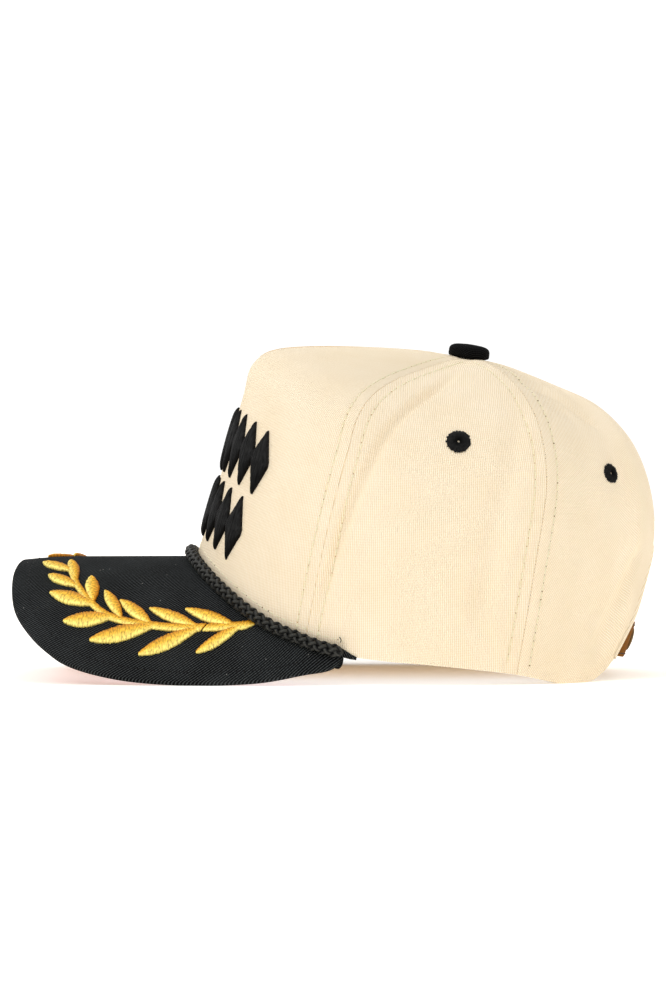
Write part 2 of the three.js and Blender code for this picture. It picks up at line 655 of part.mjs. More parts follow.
// Leather straps: the left one passes outside the right one and a stud holds them at the centre
function strapGeometry(side, passesOutside) {
  const tip = BACK_CENTRE + STRAP_OVERLAP;
  const stations = [0, 0.08, 0.2, 0.32, 0.44, 0.56, 0.68, 0.8, 0.88, 0.94, 0.98, 1];
  return loft(stations.map((u) => {
    const azimuth = lerp(STRAP_ROOT, tip, u);
    const lift = STRAP_RISE * (1 - smoothstep(azimuth, STRAP_ROOT, BACK_CENTRE));
    const intoEnd = Math.max((u - 1) / STRAP_ROUNDING + 1, 0);
    const half = (STRAP_HEIGHT / 2) * Math.sqrt(1 - 0.88 * intoEnd ** 2);
    const tucked = passesOutside ? 0 : smoothstep(azimuth, INNER_STRAP_START, INNER_STRAP_END);
    const outside = WALL + GAP + tucked * (LEATHER + GAP);
    const point = (share, depth) => {
      const height = STRAP_MIDDLE + lift + share * half;
      const level = levelAtHeight(azimuth, height);
      const place = smoothCrownPoint(azimuth, level);
      return place.addScaledVector(crownNormal(azimuth, level), -depth);
    };
    const mirrored = [
      ...[-1, 0, 1].map((share) => point(share, outside)),
      ...[1, 0, -1].map((share) => point(share, outside + LEATHER)),
    ];
    for (const place of mirrored) place.x *= side;
    return mirrored;
  }));
}
const strapLevel = levelAtHeight(BACK_CENTRE, STRAP_MIDDLE);
const studPlace = seatOnCrown(BACK_CENTRE, strapLevel, WALL + GAP);
for (const [label, side] of [["left", 1], ["right", -1]]) {
  const punch = new THREE.CylinderGeometry(STUD_SHANK + GAP, STUD_SHANK + GAP, 20, 12);
  punch.applyMatrix4(studPlace);
  const leather = toManifold(strapGeometry(side, label === "left")).subtract(toManifold(punch));
  addPiece(`strap_${label}`, toGeometry(leather), BROWN_LEATHER);
}

// Stud: a plain dark metal rivet through both straps
const inside = -(2 * LEATHER + 3 * GAP);
const studProfile = [
  [0, inside - STUD_CLENCH],
  [0.8 * STUD_HEAD, inside - STUD_CLENCH],
  [0.8 * STUD_HEAD, inside],
  [STUD_SHANK, inside],
  [STUD_SHANK, GAP],
  [STUD_HEAD, GAP],
  [0.9 * STUD_HEAD, STUD_DOME - STUD_BEVEL],
  [0, STUD_DOME],
];
const stud = new THREE.LatheGeometry(studProfile.map(([r, h]) => new THREE.Vector2(r, h)), 14);
stud.applyMatrix4(studPlace);
addPiece("strap_stud", stud, DARK_BRASS);

// Sweatband: a strip of white cotton round the inside of the rim, open at the back
const halfBand = [...FRONT_COLUMNS, ...SIDE_COLUMNS.slice(1), ...BACK_COLUMNS.slice(1)]
  .filter((azimuth) => azimuth < BAND_END);
const bandColumns = [...halfBand.slice(1).reverse().map((azimuth) => -azimuth), ...halfBand];
function bandRing(azimuth) {
  const behindStrap = smoothstep(Math.abs(azimuth), STRAP_ROOT - 12, STRAP_ROOT - 2);
  const outside = WALL + BAND_GAP + behindStrap * (LEATHER + GAP);
  return [
    crownPoint(azimuth, BAND_LOW, outside),
    crownPoint(azimuth, BAND_HIGH, outside),
    crownPoint(azimuth, BAND_HIGH, outside + BAND_THICKNESS),
    crownPoint(azimuth, BAND_LOW, outside + BAND_THICKNESS),
  ];
}
addPiece("sweatband", loft(bandColumns.map(bandRing)), WHITE_COTTON);

export default cap;
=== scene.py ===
# A rope-front trucker cap, lying on a table as it rests by itself. Sizes are in millimetres and
# turn to metres where a mesh is made. The brim points along -Y and the wearer's left is +X.
# A place on the crown is an azimuth, from 0 at the centre front to 180 at the centre back and
# negative on the wearer's right, and a level, from 0 at the rim to 10 under the top button.
import bmesh
import bpy
import numpy as np
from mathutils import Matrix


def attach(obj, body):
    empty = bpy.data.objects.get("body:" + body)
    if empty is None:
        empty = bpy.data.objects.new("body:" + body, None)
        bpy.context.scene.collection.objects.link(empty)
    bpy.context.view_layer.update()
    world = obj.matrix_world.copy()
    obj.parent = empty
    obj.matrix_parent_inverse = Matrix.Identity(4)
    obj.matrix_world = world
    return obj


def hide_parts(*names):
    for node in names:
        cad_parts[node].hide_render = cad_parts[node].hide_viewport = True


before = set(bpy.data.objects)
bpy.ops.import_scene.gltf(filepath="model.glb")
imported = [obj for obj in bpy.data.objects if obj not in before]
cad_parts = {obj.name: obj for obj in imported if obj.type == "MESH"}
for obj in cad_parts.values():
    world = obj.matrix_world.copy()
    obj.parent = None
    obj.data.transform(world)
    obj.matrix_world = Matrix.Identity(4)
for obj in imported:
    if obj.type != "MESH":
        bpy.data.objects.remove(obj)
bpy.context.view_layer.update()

# Camera
# Level with the shoulder of the brim and square to the cap's left side. It stands far enough
# away for the near and the far half of the brim to look almost the same size.
CAMERA_DISTANCE = 1200
CAMERA_Y = -1
CAMERA_Z = 76.4
PIXEL_SIZE = 0.44  # what one pixel of the picture covers at the cap's middle
PICTURE_HEIGHT = 1001  # pixels
camera_data = bpy.data.cameras.new("camera")
camera_data.sensor_width = 36
camera_data.lens = 36 * CAMERA_DISTANCE / (PIXEL_SIZE * PICTURE_HEIGHT)
camera = bpy.data.objects.new("camera", camera_data)
camera.location = (CAMERA_DISTANCE / 1000, CAMERA_Y / 1000, CAMERA_Z / 1000)
camera.rotation_euler = np.radians((90, 0, 90))
bpy.context.scene.collection.objects.link(camera)
bpy.context.scene.camera = camera

# Crown panels
# Five pieces of cream cotton twill: a tall front panel backed with buckram, with a pinched seam
# along its top, two side panels and two back panels. They are sewn edge to edge, and each seam
# is pressed open and topstitched on both sides.
WALL = 1.6
FRONT_SEAM = 64.7
BACK_SEAM = 115
BACK_SEAM_LEAN = 4.4  # degrees by which this seam comes forward high on the crown
LEAN_FOOT, LEAN_HEIGHT = 3.4, 3.5  # from this level, over so many levels
FRONT_SQUARE = 2.1  # how square the crown is seen from above, 2 being an ellipse
BACK_SQUARE = 2.35
PANEL_TOP = 9.72  # level where the panels end round the button's shank
TOPSTITCH = 5  # from a seam to the row of stitches beside it


def table(names, rows):
    """Named columns of a table of numbers."""
    return dict(zip(names.split(), np.array(rows, float).T))


CROWN = table("front_y front_z side_x side_z middle_y back_y back_z", [
    [-61.7, 50, 78, 10.5, 26, 127.7, 7],
    [-56.5, 67, 82, 32, 29, 133.5, 25],
    [-51, 86, 84, 52, 32, 136.5, 42],
    [-45.3, 106, 83.5, 72, 36, 139, 60],
    [-40.5, 123, 80, 90, 41, 138.3, 77],
    [-37, 135.5, 73.5, 104, 45, 134.2, 92.5],
    [-28, 142, 64, 115, 49, 126.5, 106],
    [-9, 143.9, 50, 124, 53, 114, 118.2],
    [19, 143.3, 33, 131.5, 56, 97, 126],
    [42, 141.5, 16, 136.7, 58, 76, 135],
    [59, 139, 0, 139, 59, 59, 139],
])
RIM = table("azimuth height", [
    [90, 9.4], [104, 6.6], [115, 4.2], [124, 1.4], [129, 0], [139, 0], [147, 3.9], [154, 8.4],
    [167, 7.5], [180, 7],
])
CREASES = table("low_level high_level low_azimuth high_azimuth bend width depth", [
    [0.1, 8.3, 66.9, 86.1, 1.7, 4.6, 2.9],
    [0.05, 6.8, 103.5, 107.5, 2.5, 9, 1.8],
    [5.8, 7.8, 124.5, 116.5, 1, 6, 1.2],
    [5.6, 7.5, 138, 119.5, 1, 6, 1.3],
    [0.2, 2.9, 137.8, 155.5, 1, 7, 1.6],
    [0.4, 1.3, 131, 137.5, 1, 5, 0.8],
])
RIDGE_HEIGHT = 52.1
RIDGE_FALL = 0.003
NOSE_START, NOSE_LENGTH, NOSE_DROP = -112, 25, 1.4
ARCH_FRONT, ARCH_RISE, ARCH_FADE = 57, 15, 0.2
SHOULDER_RISE, SHOULDER_MIDDLE, SHOULDER_LENGTH = 1.7, -12, 22
TUCK = 2  # how far the rim sits below the brim's top face
TUCK_END, TUCK_FADE = 78, 12  # it comes out over so many degrees before this azimuth
PINCH_LOW, PINCH_HIGH = 5.2, 9.5  # levels between which the front panel's top is pinched
PINCH_HEIGHT, PINCH_AZIMUTH = 0.5, 1.8
FOLD_END = 0.18  # share of a fold's length over which it comes and goes


def smoothstep(value, low, high):
    """0 below low, 1 above high, and a smooth rise between them."""
    share = np.clip((value - low) / (high - low), 0, 1)
    return share * share * (3 - 2 * share)


def outlines(azimuth):
    """Two half superellipses per level that meet at the sides, one row of points per level."""
    cosine, sine = np.cos(np.radians(azimuth)), np.sin(np.radians(azimuth))
    power = np.where(cosine > 0, 2 / FRONT_SQUARE, 2 / BACK_SQUARE)
    level = {name: values.reshape(-1, *[1] * np.ndim(azimuth)) for name, values in CROWN.items()}
    reach = np.where(cosine > 0, level["middle_y"] - level["front_y"],
                     level["back_y"] - level["middle_y"])
    height = np.where(cosine > 0, level["front_z"], level["back_z"])
    return np.stack([
        level["side_x"] * np.sign(sine) * np.abs(sine) ** power,
        level["middle_y"] - reach * np.sign(cosine) * np.abs(cosine) ** power,
        level["side_z"] + (height - level["side_z"]) * cosine ** 2,
    ], -1)


def brim_height(x, y):
    """An arch across the width that tightens away from the crown, under an almost straight ridge,
    with a low shoulder on each side beside the crown."""
    side_x, middle_y = CROWN["side_x"][0], CROWN["middle_y"][0]
    front_y = CROWN["front_y"][0]
    across = (np.abs(x) / side_x) ** FRONT_SQUARE
    along = (np.abs(middle_y - y) / (middle_y - front_y)) ** FRONT_SQUARE
    outside = np.maximum((across + along) ** (1 / FRONT_SQUARE) - 1, 0)
    at_crown = np.exp(-outside / ARCH_FADE)
    arch = ARCH_FRONT + ARCH_RISE * at_crown
    nose = np.maximum(NOSE_START - y, 0) / NOSE_LENGTH
    ridge = RIDGE_HEIGHT - RIDGE_FALL * np.maximum(front_y - y, 0) - NOSE_DROP * nose ** 2
    from_shoulder = np.minimum(np.abs(y - SHOULDER_MIDDLE) / SHOULDER_LENGTH, 1)
    shoulder = SHOULDER_RISE / 2 * (1 + np.cos(np.pi * from_shoulder))
    return ridge - x * x / (2 * arch) + shoulder * at_crown


def smooth_through(knots, values, at):
    """Cubic pieces between knots, with no overshoot: harmonic means of the slopes as tangents."""
    slopes = np.diff(values) / np.diff(knots)
    before, after = np.r_[slopes[0], slopes], np.r_[slopes, slopes[-1]]
    product = before * after
    tangents = np.where(product > 0, 2 * product / np.where(product > 0, before + after, 1), 0)
    low = np.clip(np.searchsorted(knots, at) - 1, 0, len(knots) - 2)
    span = knots[low + 1] - knots[low]
    u = np.clip((at - knots[low]) / span, 0, 1)
    return ((1 + 2 * u) * (1 - u) ** 2 * values[low] + u * (1 - u) ** 2 * span * tangents[low]
            + u * u * (3 - 2 * u) * values[low + 1] + u * u * (u - 1) * span * tangents[low + 1])


def rim_height(azimuth):
    """The rim follows the brim's arch under the brim, and the table behind it."""
    around = 180 - np.abs(np.abs(azimuth) - 180)
    point = outlines(around)[0]
    on_brim = brim_height(point[..., 0], point[..., 1])
    end = outlines(TUCK_END)[0]
    knots = np.r_[TUCK_END, RIM["azimuth"]]
    heights = np.r_[brim_height(end[0], end[1]), RIM["height"]]
    tucked = on_brim - TUCK * (1 - smoothstep(around, TUCK_END - TUCK_FADE, TUCK_END))
    return np.where(around < TUCK_END, tucked, smooth_through(knots, heights, around))


def smooth_crown(azimuth, level):
    """Catmull-Rom curves from the rim to the button through the outlines of the levels."""
    azimuth, level = np.broadcast_arrays(np.asarray(azimuth, float), np.asarray(level, float))
    stack = outlines(azimuth)
    stack[0, ..., 2] = rim_height(azimuth)
    stack = np.concatenate([[2 * stack[0] - stack[1]], stack, [2 * stack[-1] - stack[-2]]])
    below = np.clip(level.astype(int), 0, len(stack) - 4)
    u = (level - below)[..., None]
    first = np.broadcast_to(below[..., None], (*below.shape, 3))
    p0, p1, p2, p3 = (np.take_along_axis(stack, (first + k)[None], 0)[0] for k in range(4))
    return 0.5 * (2 * p1 + (p2 - p0) * u + (2 * p0 - 5 * p1 + 4 * p2 - p3) * u ** 2
                  + (3 * p1 - 3 * p2 + p3 - p0) * u ** 3)


def unit(vectors):
    """The same directions at length 1."""
    return vectors / np.linalg.norm(vectors, axis=-1, keepdims=True)


def crown_normal(azimuth, level):
    """Cross product of the steps along the azimuth and along the level."""
    level = np.clip(level, 0.02, 9.9)
    around = smooth_crown(azimuth + 0.5, level) - smooth_crown(azimuth - 0.5, level)
    up = smooth_crown(azimuth, level + 0.02) - smooth_crown(azimuth, level - 0.02)
    return unit(np.cross(around, up))


def fold_depth(along):
    """0 at both ends of a fold and 1 between them."""
    return smoothstep(along, 0, FOLD_END) * smoothstep(1 - along, 0, FOLD_END)


def relief(azimuth, level):
    """Plus on the pinched seam of the front panel, minus in the soft creases."""
    around = 180 - np.abs(np.abs(azimuth) - 180)
    along = np.clip((level - PINCH_LOW) / (PINCH_HIGH - PINCH_LOW), 0, 1)
    out = PINCH_HEIGHT * fold_depth(along) * np.clip(1 - around / PINCH_AZIMUTH, 0, 1)
    for low, high, start, stop, bend, width, depth in zip(*CREASES.values()):
        along = np.clip((level - low) / (high - low), 0, 1)
        middle = start + (stop - start) * along ** bend
        away = np.linalg.norm(smooth_crown(around, level) - smooth_crown(middle, level), axis=-1)
        dip = (1 + np.cos(np.pi * np.clip(away / width, 0, 1))) / 2
        out = out - depth * fold_depth(along) * dip
    return out


def crown(azimuth, level, out=0):
    """A point at a distance outside the cloth's outer face, creases included."""
    azimuth, level = np.broadcast_arrays(np.asarray(azimuth, float), np.asarray(level, float))
    out = relief(azimuth, level) + out
    return smooth_crown(azimuth, level) + crown_normal(azimuth, level) * out[..., None]


def leaned(azimuth, level):
    """Azimuth with the back seam's lean: whole at that seam, and none at the seams beside it."""
    lean = BACK_SEAM_LEAN * np.clip((level - LEAN_FOOT) / LEAN_HEIGHT, 0, 1.25) ** 1.3
    share = np.interp(np.abs(azimuth), [FRONT_SEAM, BACK_SEAM, 180], [0, 1, 0])
    return azimuth - np.sign(azimuth) * share * lean


def degree_length(azimuth, level):
    """How many millimetres one degree of azimuth is at a place on the crown."""
    step = smooth_crown(azimuth + 0.05, level) - smooth_crown(azimuth - 0.05, level)
    return np.linalg.norm(step, axis=-1) / 0.1


def distances(points, axis):
    """Distance run along one direction of a grid of points."""
    steps = np.cumsum(np.linalg.norm(np.diff(points, axis=axis), axis=-1), axis)
    return np.concatenate([np.zeros_like(np.take(steps, [0], axis)), steps], axis)


def laid_out(grid):
    """The distances run along both directions of a grid, which is its map laid flat."""
    return np.stack([distances(grid, 0), distances(grid, 1)], -1)


def read_at(places, run, values):
    """Each column of values, read between its rows at some places of a run."""
    return np.stack([np.interp(places, run, column) for column in values.T], -1)


def level_up_to(holds, like):
    """The level between 0 and 4 up to which a test holds, found by halving, for each place of an
    array called like."""
    low, high = np.zeros_like(like), np.full_like(like, 4.0)
    for _ in range(30):
        middle = (low + high) / 2
        below = holds(middle)
        low, high = np.where(below, middle, low), np.where(below, high, middle)
    return high


def grid_faces(columns, rows):
    """Four-sided faces between the neighbours of a grid of points."""
    corner = (np.arange(columns - 1)[:, None] * rows + np.arange(rows - 1)).ravel()
    return np.stack([corner, corner + 1, corner + rows + 1, corner + rows], 1)


def facing_out(points, faces):
    """Turns all faces round where the volume that they hold comes out negative."""
    a, b, c, d = (points[faces[:, k]] for k in range(4))
    volume = np.sum(a * np.cross(b, c)) + np.sum(a * np.cross(c, d))
    return faces if volume > 0 else faces[:, ::-1]


def wall(outer, inner, uv):
    """Closed skin over two grids of points that lie face to face, closed along all four edges."""
    columns, rows = outer.shape[:2]
    points = np.concatenate([outer, inner[:, ::-1], outer[:, :1]], 1).reshape(-1, 3)
    uv = np.concatenate([uv, uv[:, ::-1], uv[:, :1]], 1).reshape(-1, 2)
    near = np.arange(rows - 1)
    far = 2 * rows - 1 - near
    first = np.stack([near + 1, near, far, far - 1], 1)
    last = first[:, ::-1] + (columns - 1) * (2 * rows + 1)
    faces = np.concatenate([grid_faces(columns, 2 * rows + 1), first, last])
    return points, facing_out(points, faces), uv


def ring_skin(rings, uv):
    """Skin through rings of points, each of which comes round to its first point again."""
    rings = np.concatenate([rings, rings[:, :1]], 1)
    uv = np.concatenate([uv, uv[:, :1]], 1)
    points = rings.reshape(-1, 3)
    return points, facing_out(points, grid_faces(*rings.shape[:2])), uv.reshape(-1, 2)


def tube(rings, uv):
    """Closed skin through rings of points, with each end drawn together to its middle."""
    ends = [np.broadcast_to(rings[k].mean(0), rings[k].shape)[None] for k in (0, -1)]
    return ring_skin(np.concatenate([ends[0], rings, ends[1]]),
                     np.concatenate([uv[:1], uv, uv[-1:]]))


def add_piece(name, parts, material, slot, *nodes):
    """Puts parts made by wall or tube into one mesh, welds their edges and dresses it."""
    starts = np.cumsum([0] + [len(points) for points, faces, uv in parts])
    points = np.concatenate([part[0] for part in parts]) / 1000
    faces = np.concatenate([part[1] + start for part, start in zip(parts, starts)])
    uv = np.concatenate([part[2] for part in parts])[faces.ravel()]
    mesh = bpy.data.meshes.new(name)
    mesh.vertices.add(len(points))
    mesh.vertices.foreach_set("co", points.ravel())
    mesh.loops.add(faces.size)
    mesh.loops.foreach_set("vertex_index", faces.ravel().astype(np.int32))
    mesh.polygons.add(len(faces))
    mesh.polygons.foreach_set("loop_start", np.arange(0, faces.size, 4, dtype=np.int32))
    mesh.update(calc_edges=True)
    mesh.uv_layers.new(name="cloth").data.foreach_set("uv", uv.ravel())
    shape = bmesh.new()
    shape.from_mesh(mesh)
    bmesh.ops.remove_doubles(shape, verts=shape.verts, dist=2e-6)
    shape.to_mesh(mesh)
    shape.free()
    mesh.polygons.foreach_set("use_smooth", np.ones(len(mesh.polygons), bool))
    mesh.materials.append(material)
    piece = bpy.data.objects.new(name, mesh)
    bpy.context.scene.collection.objects.link(piece)
    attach(piece, "root")
    if nodes:
        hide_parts(*nodes)
    return piece


def to_linear(code):
    """Linear colour of an sRGB hex code."""
    srgb = np.array([int(code[i:i + 2], 16) for i in (0, 2, 4)]) / 255
    linear = np.where(srgb <= 0.04045, srgb / 12.92, ((srgb + 0.055) / 1.055) ** 2.4)
    return (*linear, 1.0)


def add_node(tree, kind, settings=(), inputs=()):
    """Adds a node, sets its options, and fills each input with a value or a link. Another node
    stands for its first output in use."""
    node = tree.nodes.new("ShaderNode" + kind)
    for option, value in dict(settings).items():
        setattr(node, option, value)
    for key, value in dict(inputs).items():
        if isinstance(value, bpy.types.Node):
            value = next(socket for socket in value.outputs if socket.enabled)
        if isinstance(value, bpy.types.NodeSocket):
            tree.links.new(value, node.inputs[key])
        else:
            node.inputs[key].default_value = value
    return node


def new_material(name):
    """An empty material and its node tree."""
    material = bpy.data.materials.new(name)
    material.use_nodes = True
    material.node_tree.nodes.clear()
    return material, material.node_tree


def finish_material(tree, colour, height, depth, sockets):
    """Principled surface with a bump whose height of 1 stands for a depth in millimetres."""
    bump = add_node(tree, "Bump", {}, {"Height": height, "Distance": depth / 1000})
    surface = add_node(tree, "BsdfPrincipled", {},
                       {"Base Color": colour, "Normal": bump, **sockets})
    add_node(tree, "OutputMaterial", {}, {"Surface": surface})


THICK_PLACE = 10 / 9  # length of a thick place in the yarn
THREAD_STEP = 1.3  # from thread to thread along a rib, in pitches
BLOTCH = 20  # size of the cloth's paler and darker blotches
DUST_SPACING = 5
DUST_RADII = 0.02, 0.055  # in spacings, where a speck is whole and where it ends


def cotton_twill(name, light, dark, pitch, slope, depth, broken, trough=-1.35, lint=0.0):
    """Woven diagonal ribs on the cloth's own map: a sine across the ribs, one along them for the
    single threads, and slow noise for the yarn's unevenness. The colour follows the sum of the
    sines, which is the ribs' height: painted shade makes the troughs darker, dark up to trough,
    and a painted highlight makes the crests lighter. Lint is how strongly pale specks of dust show
    on it. Real ribs lie about 0.5 apart, which is too fine to show, so each pitch is as coarse as
    it needs to be."""
    material, tree = new_material(name)
    cloth = add_node(tree, "UVMap", {"uv_map": "cloth"})
    noise = add_node(tree, "TexNoise", {},
                     {"Vector": cloth, "Scale": 1 / THICK_PLACE, "Detail": 3})
    across = np.array([1, slope, 0]) / np.hypot(1, slope) * 2 * np.pi / pitch
    along = np.array([-slope, 1, 0]) / np.hypot(1, slope) * 2 * np.pi / (THREAD_STEP * pitch)
    heights = []
    for direction in (across, along):
        phase = add_node(tree, "VectorMath", {"operation": "DOT_PRODUCT"},
                         {0: cloth, 1: direction})
        unevenness = add_node(tree, "Math", {"operation": "MULTIPLY_ADD"},
                              {0: noise, 1: 2.2, 2: phase})
        heights.append(add_node(tree, "Math", {"operation": "SINE"}, {0: unevenness}))
    ribs = add_node(tree, "Math", {"operation": "MULTIPLY_ADD"},
                    {0: heights[1], 1: broken, 2: heights[0]})
    share = add_node(tree, "MapRange", {}, {"Value": ribs, 1: trough, 2: 1.35})
    blotches = add_node(tree, "TexNoise", {}, {"Vector": cloth, "Scale": 1 / BLOTCH, "Detail": 2})
    mottled = add_node(tree, "Math", {"operation": "MULTIPLY_ADD"},
                       {0: blotches, 1: 0.3, 2: share})
    tint = add_node(tree, "MapRange", {}, {"Value": mottled, 1: 0.12, 2: 1.1})
    # The colour follows the ribs' height: painted shade in the troughs, painted highlight on the
    # crests
    colour = add_node(tree, "Mix", {"data_type": "RGBA"},
                      {0: tint, 6: to_linear(dark), 7: to_linear(light)})
    cells = add_node(tree, "TexVoronoi", {}, {"Vector": cloth, "Scale": 1 / DUST_SPACING})
    dust = add_node(tree, "MapRange", {},
                    {"Value": cells, 1: DUST_RADII[0], 2: DUST_RADII[1], 3: lint, 4: 0.0})
    dusty = add_node(tree, "Mix", {"data_type": "RGBA"},
                     {0: dust, 6: colour, 7: to_linear("c9c6c0")})
    finish_material(tree, dusty, share, depth, {"Roughness": 0.9, "Specular IOR Level": 0.07})
    return material


# Cotton twill washed soft: matt, with ribs that lean up to the wearer's right
CREAM_TWILL = cotton_twill("cream_cotton_twill", "fef2de", "ead3aa", 0.81, 0.18, 0.35, 0.25)
EDGE_STEPS = [  # distances of the columns beside a seam, close together at its stitches
    0, 0.12, 0.25, 0.4, 0.6, 0.9, 1.3, 2, 2.8, 3.6, 4.2, 4.5, 4.75, 5, 5.25, 5.5, 5.9, 6.6,
]
COLUMN_SPACING = 1.3
SEAM_ROLL = 0.45  # how far the cloth turns down into a seam
HEM_ROLL = 0.8
GROOVE_DEPTH, GROOVE_REACH = 0.3, 0.55  # the dip along a row of topstitching
PUCKER, PUCKER_MIDDLE, PUCKER_REACH = 0.14, 3.4, 2.6  # height, then distances from the seam
WAVE = 0.22  # height of the slow waves in the middle of a panel
WAVE_FROM_SEAM, WAVE_FROM_HEM = (3, 16), (2, 14)  # distances between which the waves begin
WAVE_FROM_PINCH = 2, 9  # azimuths between which they begin beside the pinched seam
rng = np.random.default_rng(7)


def edge_columns(first, last):
    """Azimuths from seam to seam, close together where the seam and its topstitching are."""
    azimuth = np.linspace(first, last, 400)
    run = distances(smooth_crown(azimuth, 2), 0)
    edge = np.array(EDGE_STEPS)
    middle = np.linspace(edge[-1], run[-1] - edge[-1], int(run[-1] / COLUMN_SPACING))[1:-1]
    return np.interp(np.r_[edge, middle, run[-1] - edge[::-1]], run, azimuth)


def stitch_groove(distance):
    """A narrow dip, a bell curve, where a row of stitches pulls the cloth down."""
    return GROOVE_DEPTH * np.exp(-((distance - TOPSTITCH) / GROOVE_REACH) ** 2)


def cloth_panel(name, columns, foot=0, grain=0):
    """Grid of azimuths and levels on the crown, each column starting at its foot level. The face
    rolls down into the seams and the hem, dips along the topstitching and puckers beside it. The
    cloth was cut with its grain turned by the angle called grain."""
    # Rows of points, close together at the hem
    rise = np.r_[0, 0.0012, 0.0025, 0.004, 0.006, 0.009, 0.013, 0.02, np.linspace(0.029, 1, 104)]
    foot = np.broadcast_to(foot, len(columns))[:, None]
    level = foot + (PANEL_TOP - foot) * rise
    azimuth = leaned(columns[:, None], level)

    # Distances on the cloth, from both seams and up from the rim
    every = np.linspace(0, PANEL_TOP, 160)
    whole = smooth_crown(leaned(columns[:, None], every), every)
    run, climb = distances(whole, 0), distances(whole, 1)
    on_level = [np.stack([np.interp(level[i], every, values[i]) for i in range(len(columns))])
                for values in (run, run[-1:] - run, climb)]
    from_first, from_last, up = on_level
    to_seam = np.minimum(from_first, from_last)
    hem = up - up[:, :1]

    # Puckers come and go along a seam, and slow waves fade out at seams, hem and pinched seam
    pucker = PUCKER * np.exp(-((to_seam - PUCKER_MIDDLE) / PUCKER_REACH) ** 2)
    pucker = pucker * np.sin(up * 1.15 + 1.7 * np.sin(up * 0.31))
    waves = WAVE * np.sin(up / 9.5 + from_first / 17) * np.sin(from_first / 12.5 - up / 31)
    waves = waves * smoothstep(to_seam, *WAVE_FROM_SEAM) * smoothstep(hem, *WAVE_FROM_HEM)
    waves = waves * smoothstep(np.abs(azimuth), *WAVE_FROM_PINCH)
    out = pucker + waves - stitch_groove(to_seam)

    # The cloth turns down in a quarter circle at the seams and at the hem
    turn = [radius - np.sqrt(np.maximum(radius ** 2 - np.maximum(radius - gap, 0) ** 2, 0))
            for radius, gap in ((SEAM_ROLL, to_seam), (HEM_ROLL, hem))]
    roll = np.maximum(*turn)
    base = smooth_crown(azimuth, level)
    normal = crown_normal(azimuth, level)
    folds = relief(azimuth, level)
    outer = base + normal * (folds + out - roll)[..., None]
    inner = base + normal * (folds - WALL + turn[1])[..., None]
    for grid in (outer, inner):
        grid[..., 2] = np.maximum(grid[..., 2], 0)

    # The map is laid out flat in millimetres, and turned as the cloth was cut
    flat = np.stack([(from_first - from_last) / 2, up], -1)
    uv = flat @ np.array([[np.cos(grain), -np.sin(grain)], [np.sin(grain), np.cos(grain)]])
    node = name.replace("cloth_", "")
    add_piece(name, [wall(outer, inner, uv)], CREAM_TWILL, "cream_twill", node)


OPENING_HALF_WIDTH = 37
OPENING_FOOT = 7
OPENING_TOP = 57
OPENING_FRONT = 60  # it is cut out of the crown behind this y alone
LEG_TOP, LEG_LEAN = 28, 0.16  # below this height the sides lean out by this much of the drop


def in_opening(point):
    """Inside the half moon: an upright ellipse whose sides lean out below."""
    rise = np.clip((point[..., 2] - OPENING_FOOT) / (OPENING_TOP - OPENING_FOOT), 0, 1)
    lean = LEG_LEAN * np.maximum(LEG_TOP - point[..., 2], 0)
    half = OPENING_HALF_WIDTH * np.sqrt(1 - rise ** 2) + lean
    below_top = point[..., 2] < OPENING_TOP
    return (np.abs(point[..., 0]) < half) & below_top & (point[..., 1] > OPENING_FRONT)


def opening_level(azimuth):
    """Level at which the half moon ends above each azimuth, or 0 beside it."""
    top = level_up_to(lambda level: in_opening(smooth_crown(azimuth, level)), azimuth)
    return np.where(in_opening(smooth_crown(azimuth, 0.001)), top, 0)


BACK_GRAIN = np.radians(35)
SIDES = ("left", 1), ("right", -1)
half_pinch = np.array([0.35, 0.7, 1.2, 1.8, 2.4, 3])
front_columns = edge_columns(-FRONT_SEAM, FRONT_SEAM)
beside_pinch = front_columns[np.abs(front_columns) > 3.5]
front_columns = np.sort(np.r_[beside_pinch, -half_pinch, 0, half_pinch])
cloth_panel("cloth_front_panel", front_columns)
side_columns = edge_columns(FRONT_SEAM, BACK_SEAM)
back_columns = edge_columns(BACK_SEAM, 180)
legs = np.linspace(151.5, 162, 64)  # close together where the half moon's sides are steep
beside_legs = back_columns[(back_columns < legs[0]) | (back_columns > legs[-1])]
back_columns = np.sort(np.r_[beside_legs, legs])
for label, side in SIDES:
    cloth_panel(f"cloth_side_panel_{label}", side * side_columns[::side])
    columns = side * back_columns[::side]
    cloth_panel(f"cloth_back_panel_{label}", columns, opening_level(columns), BACK_GRAIN)

# Seam stitches
# Cream cotton lockstitch along both sides of every seam and along the front rim just above the
# rope. Each stitch dives into the cloth at both ends, where a small dark disc is painted shade
# for the needle hole.
TOPSTITCH_PITCH = 3.5
RIM_STITCH_PITCH = 3.4
RIM_STITCH_LIFT = 4.1  # from the rope's middle up to the row of stitches
SEAM_DOT_PITCH = 1.6
THREAD_RADIUS = 0.2
THREAD_SHARES = np.array([0.1, 0.22, 0.5, 0.78, 0.9])  # of the pitch, for the points of a stitch
THREAD_LIFTS = np.array([-0.3, 0, 0.12, 0, -0.3])
THREAD_SINK = 0.12  # how deep a row lies in its groove
HOLE_WIDTH, HOLE_HEIGHT = 0.27, 0.12  # half of each
ROPE_RADIUS = 2.6
ROPE_LEVEL = 0.211  # level of the rope's middle at the centre front
ROPE_FALL = 0.0017  # how far its level falls for each degree to the side
ROPE_AZIMUTH = 76  # where it ends on both sides
GAP = 0.3  # between pieces that meet


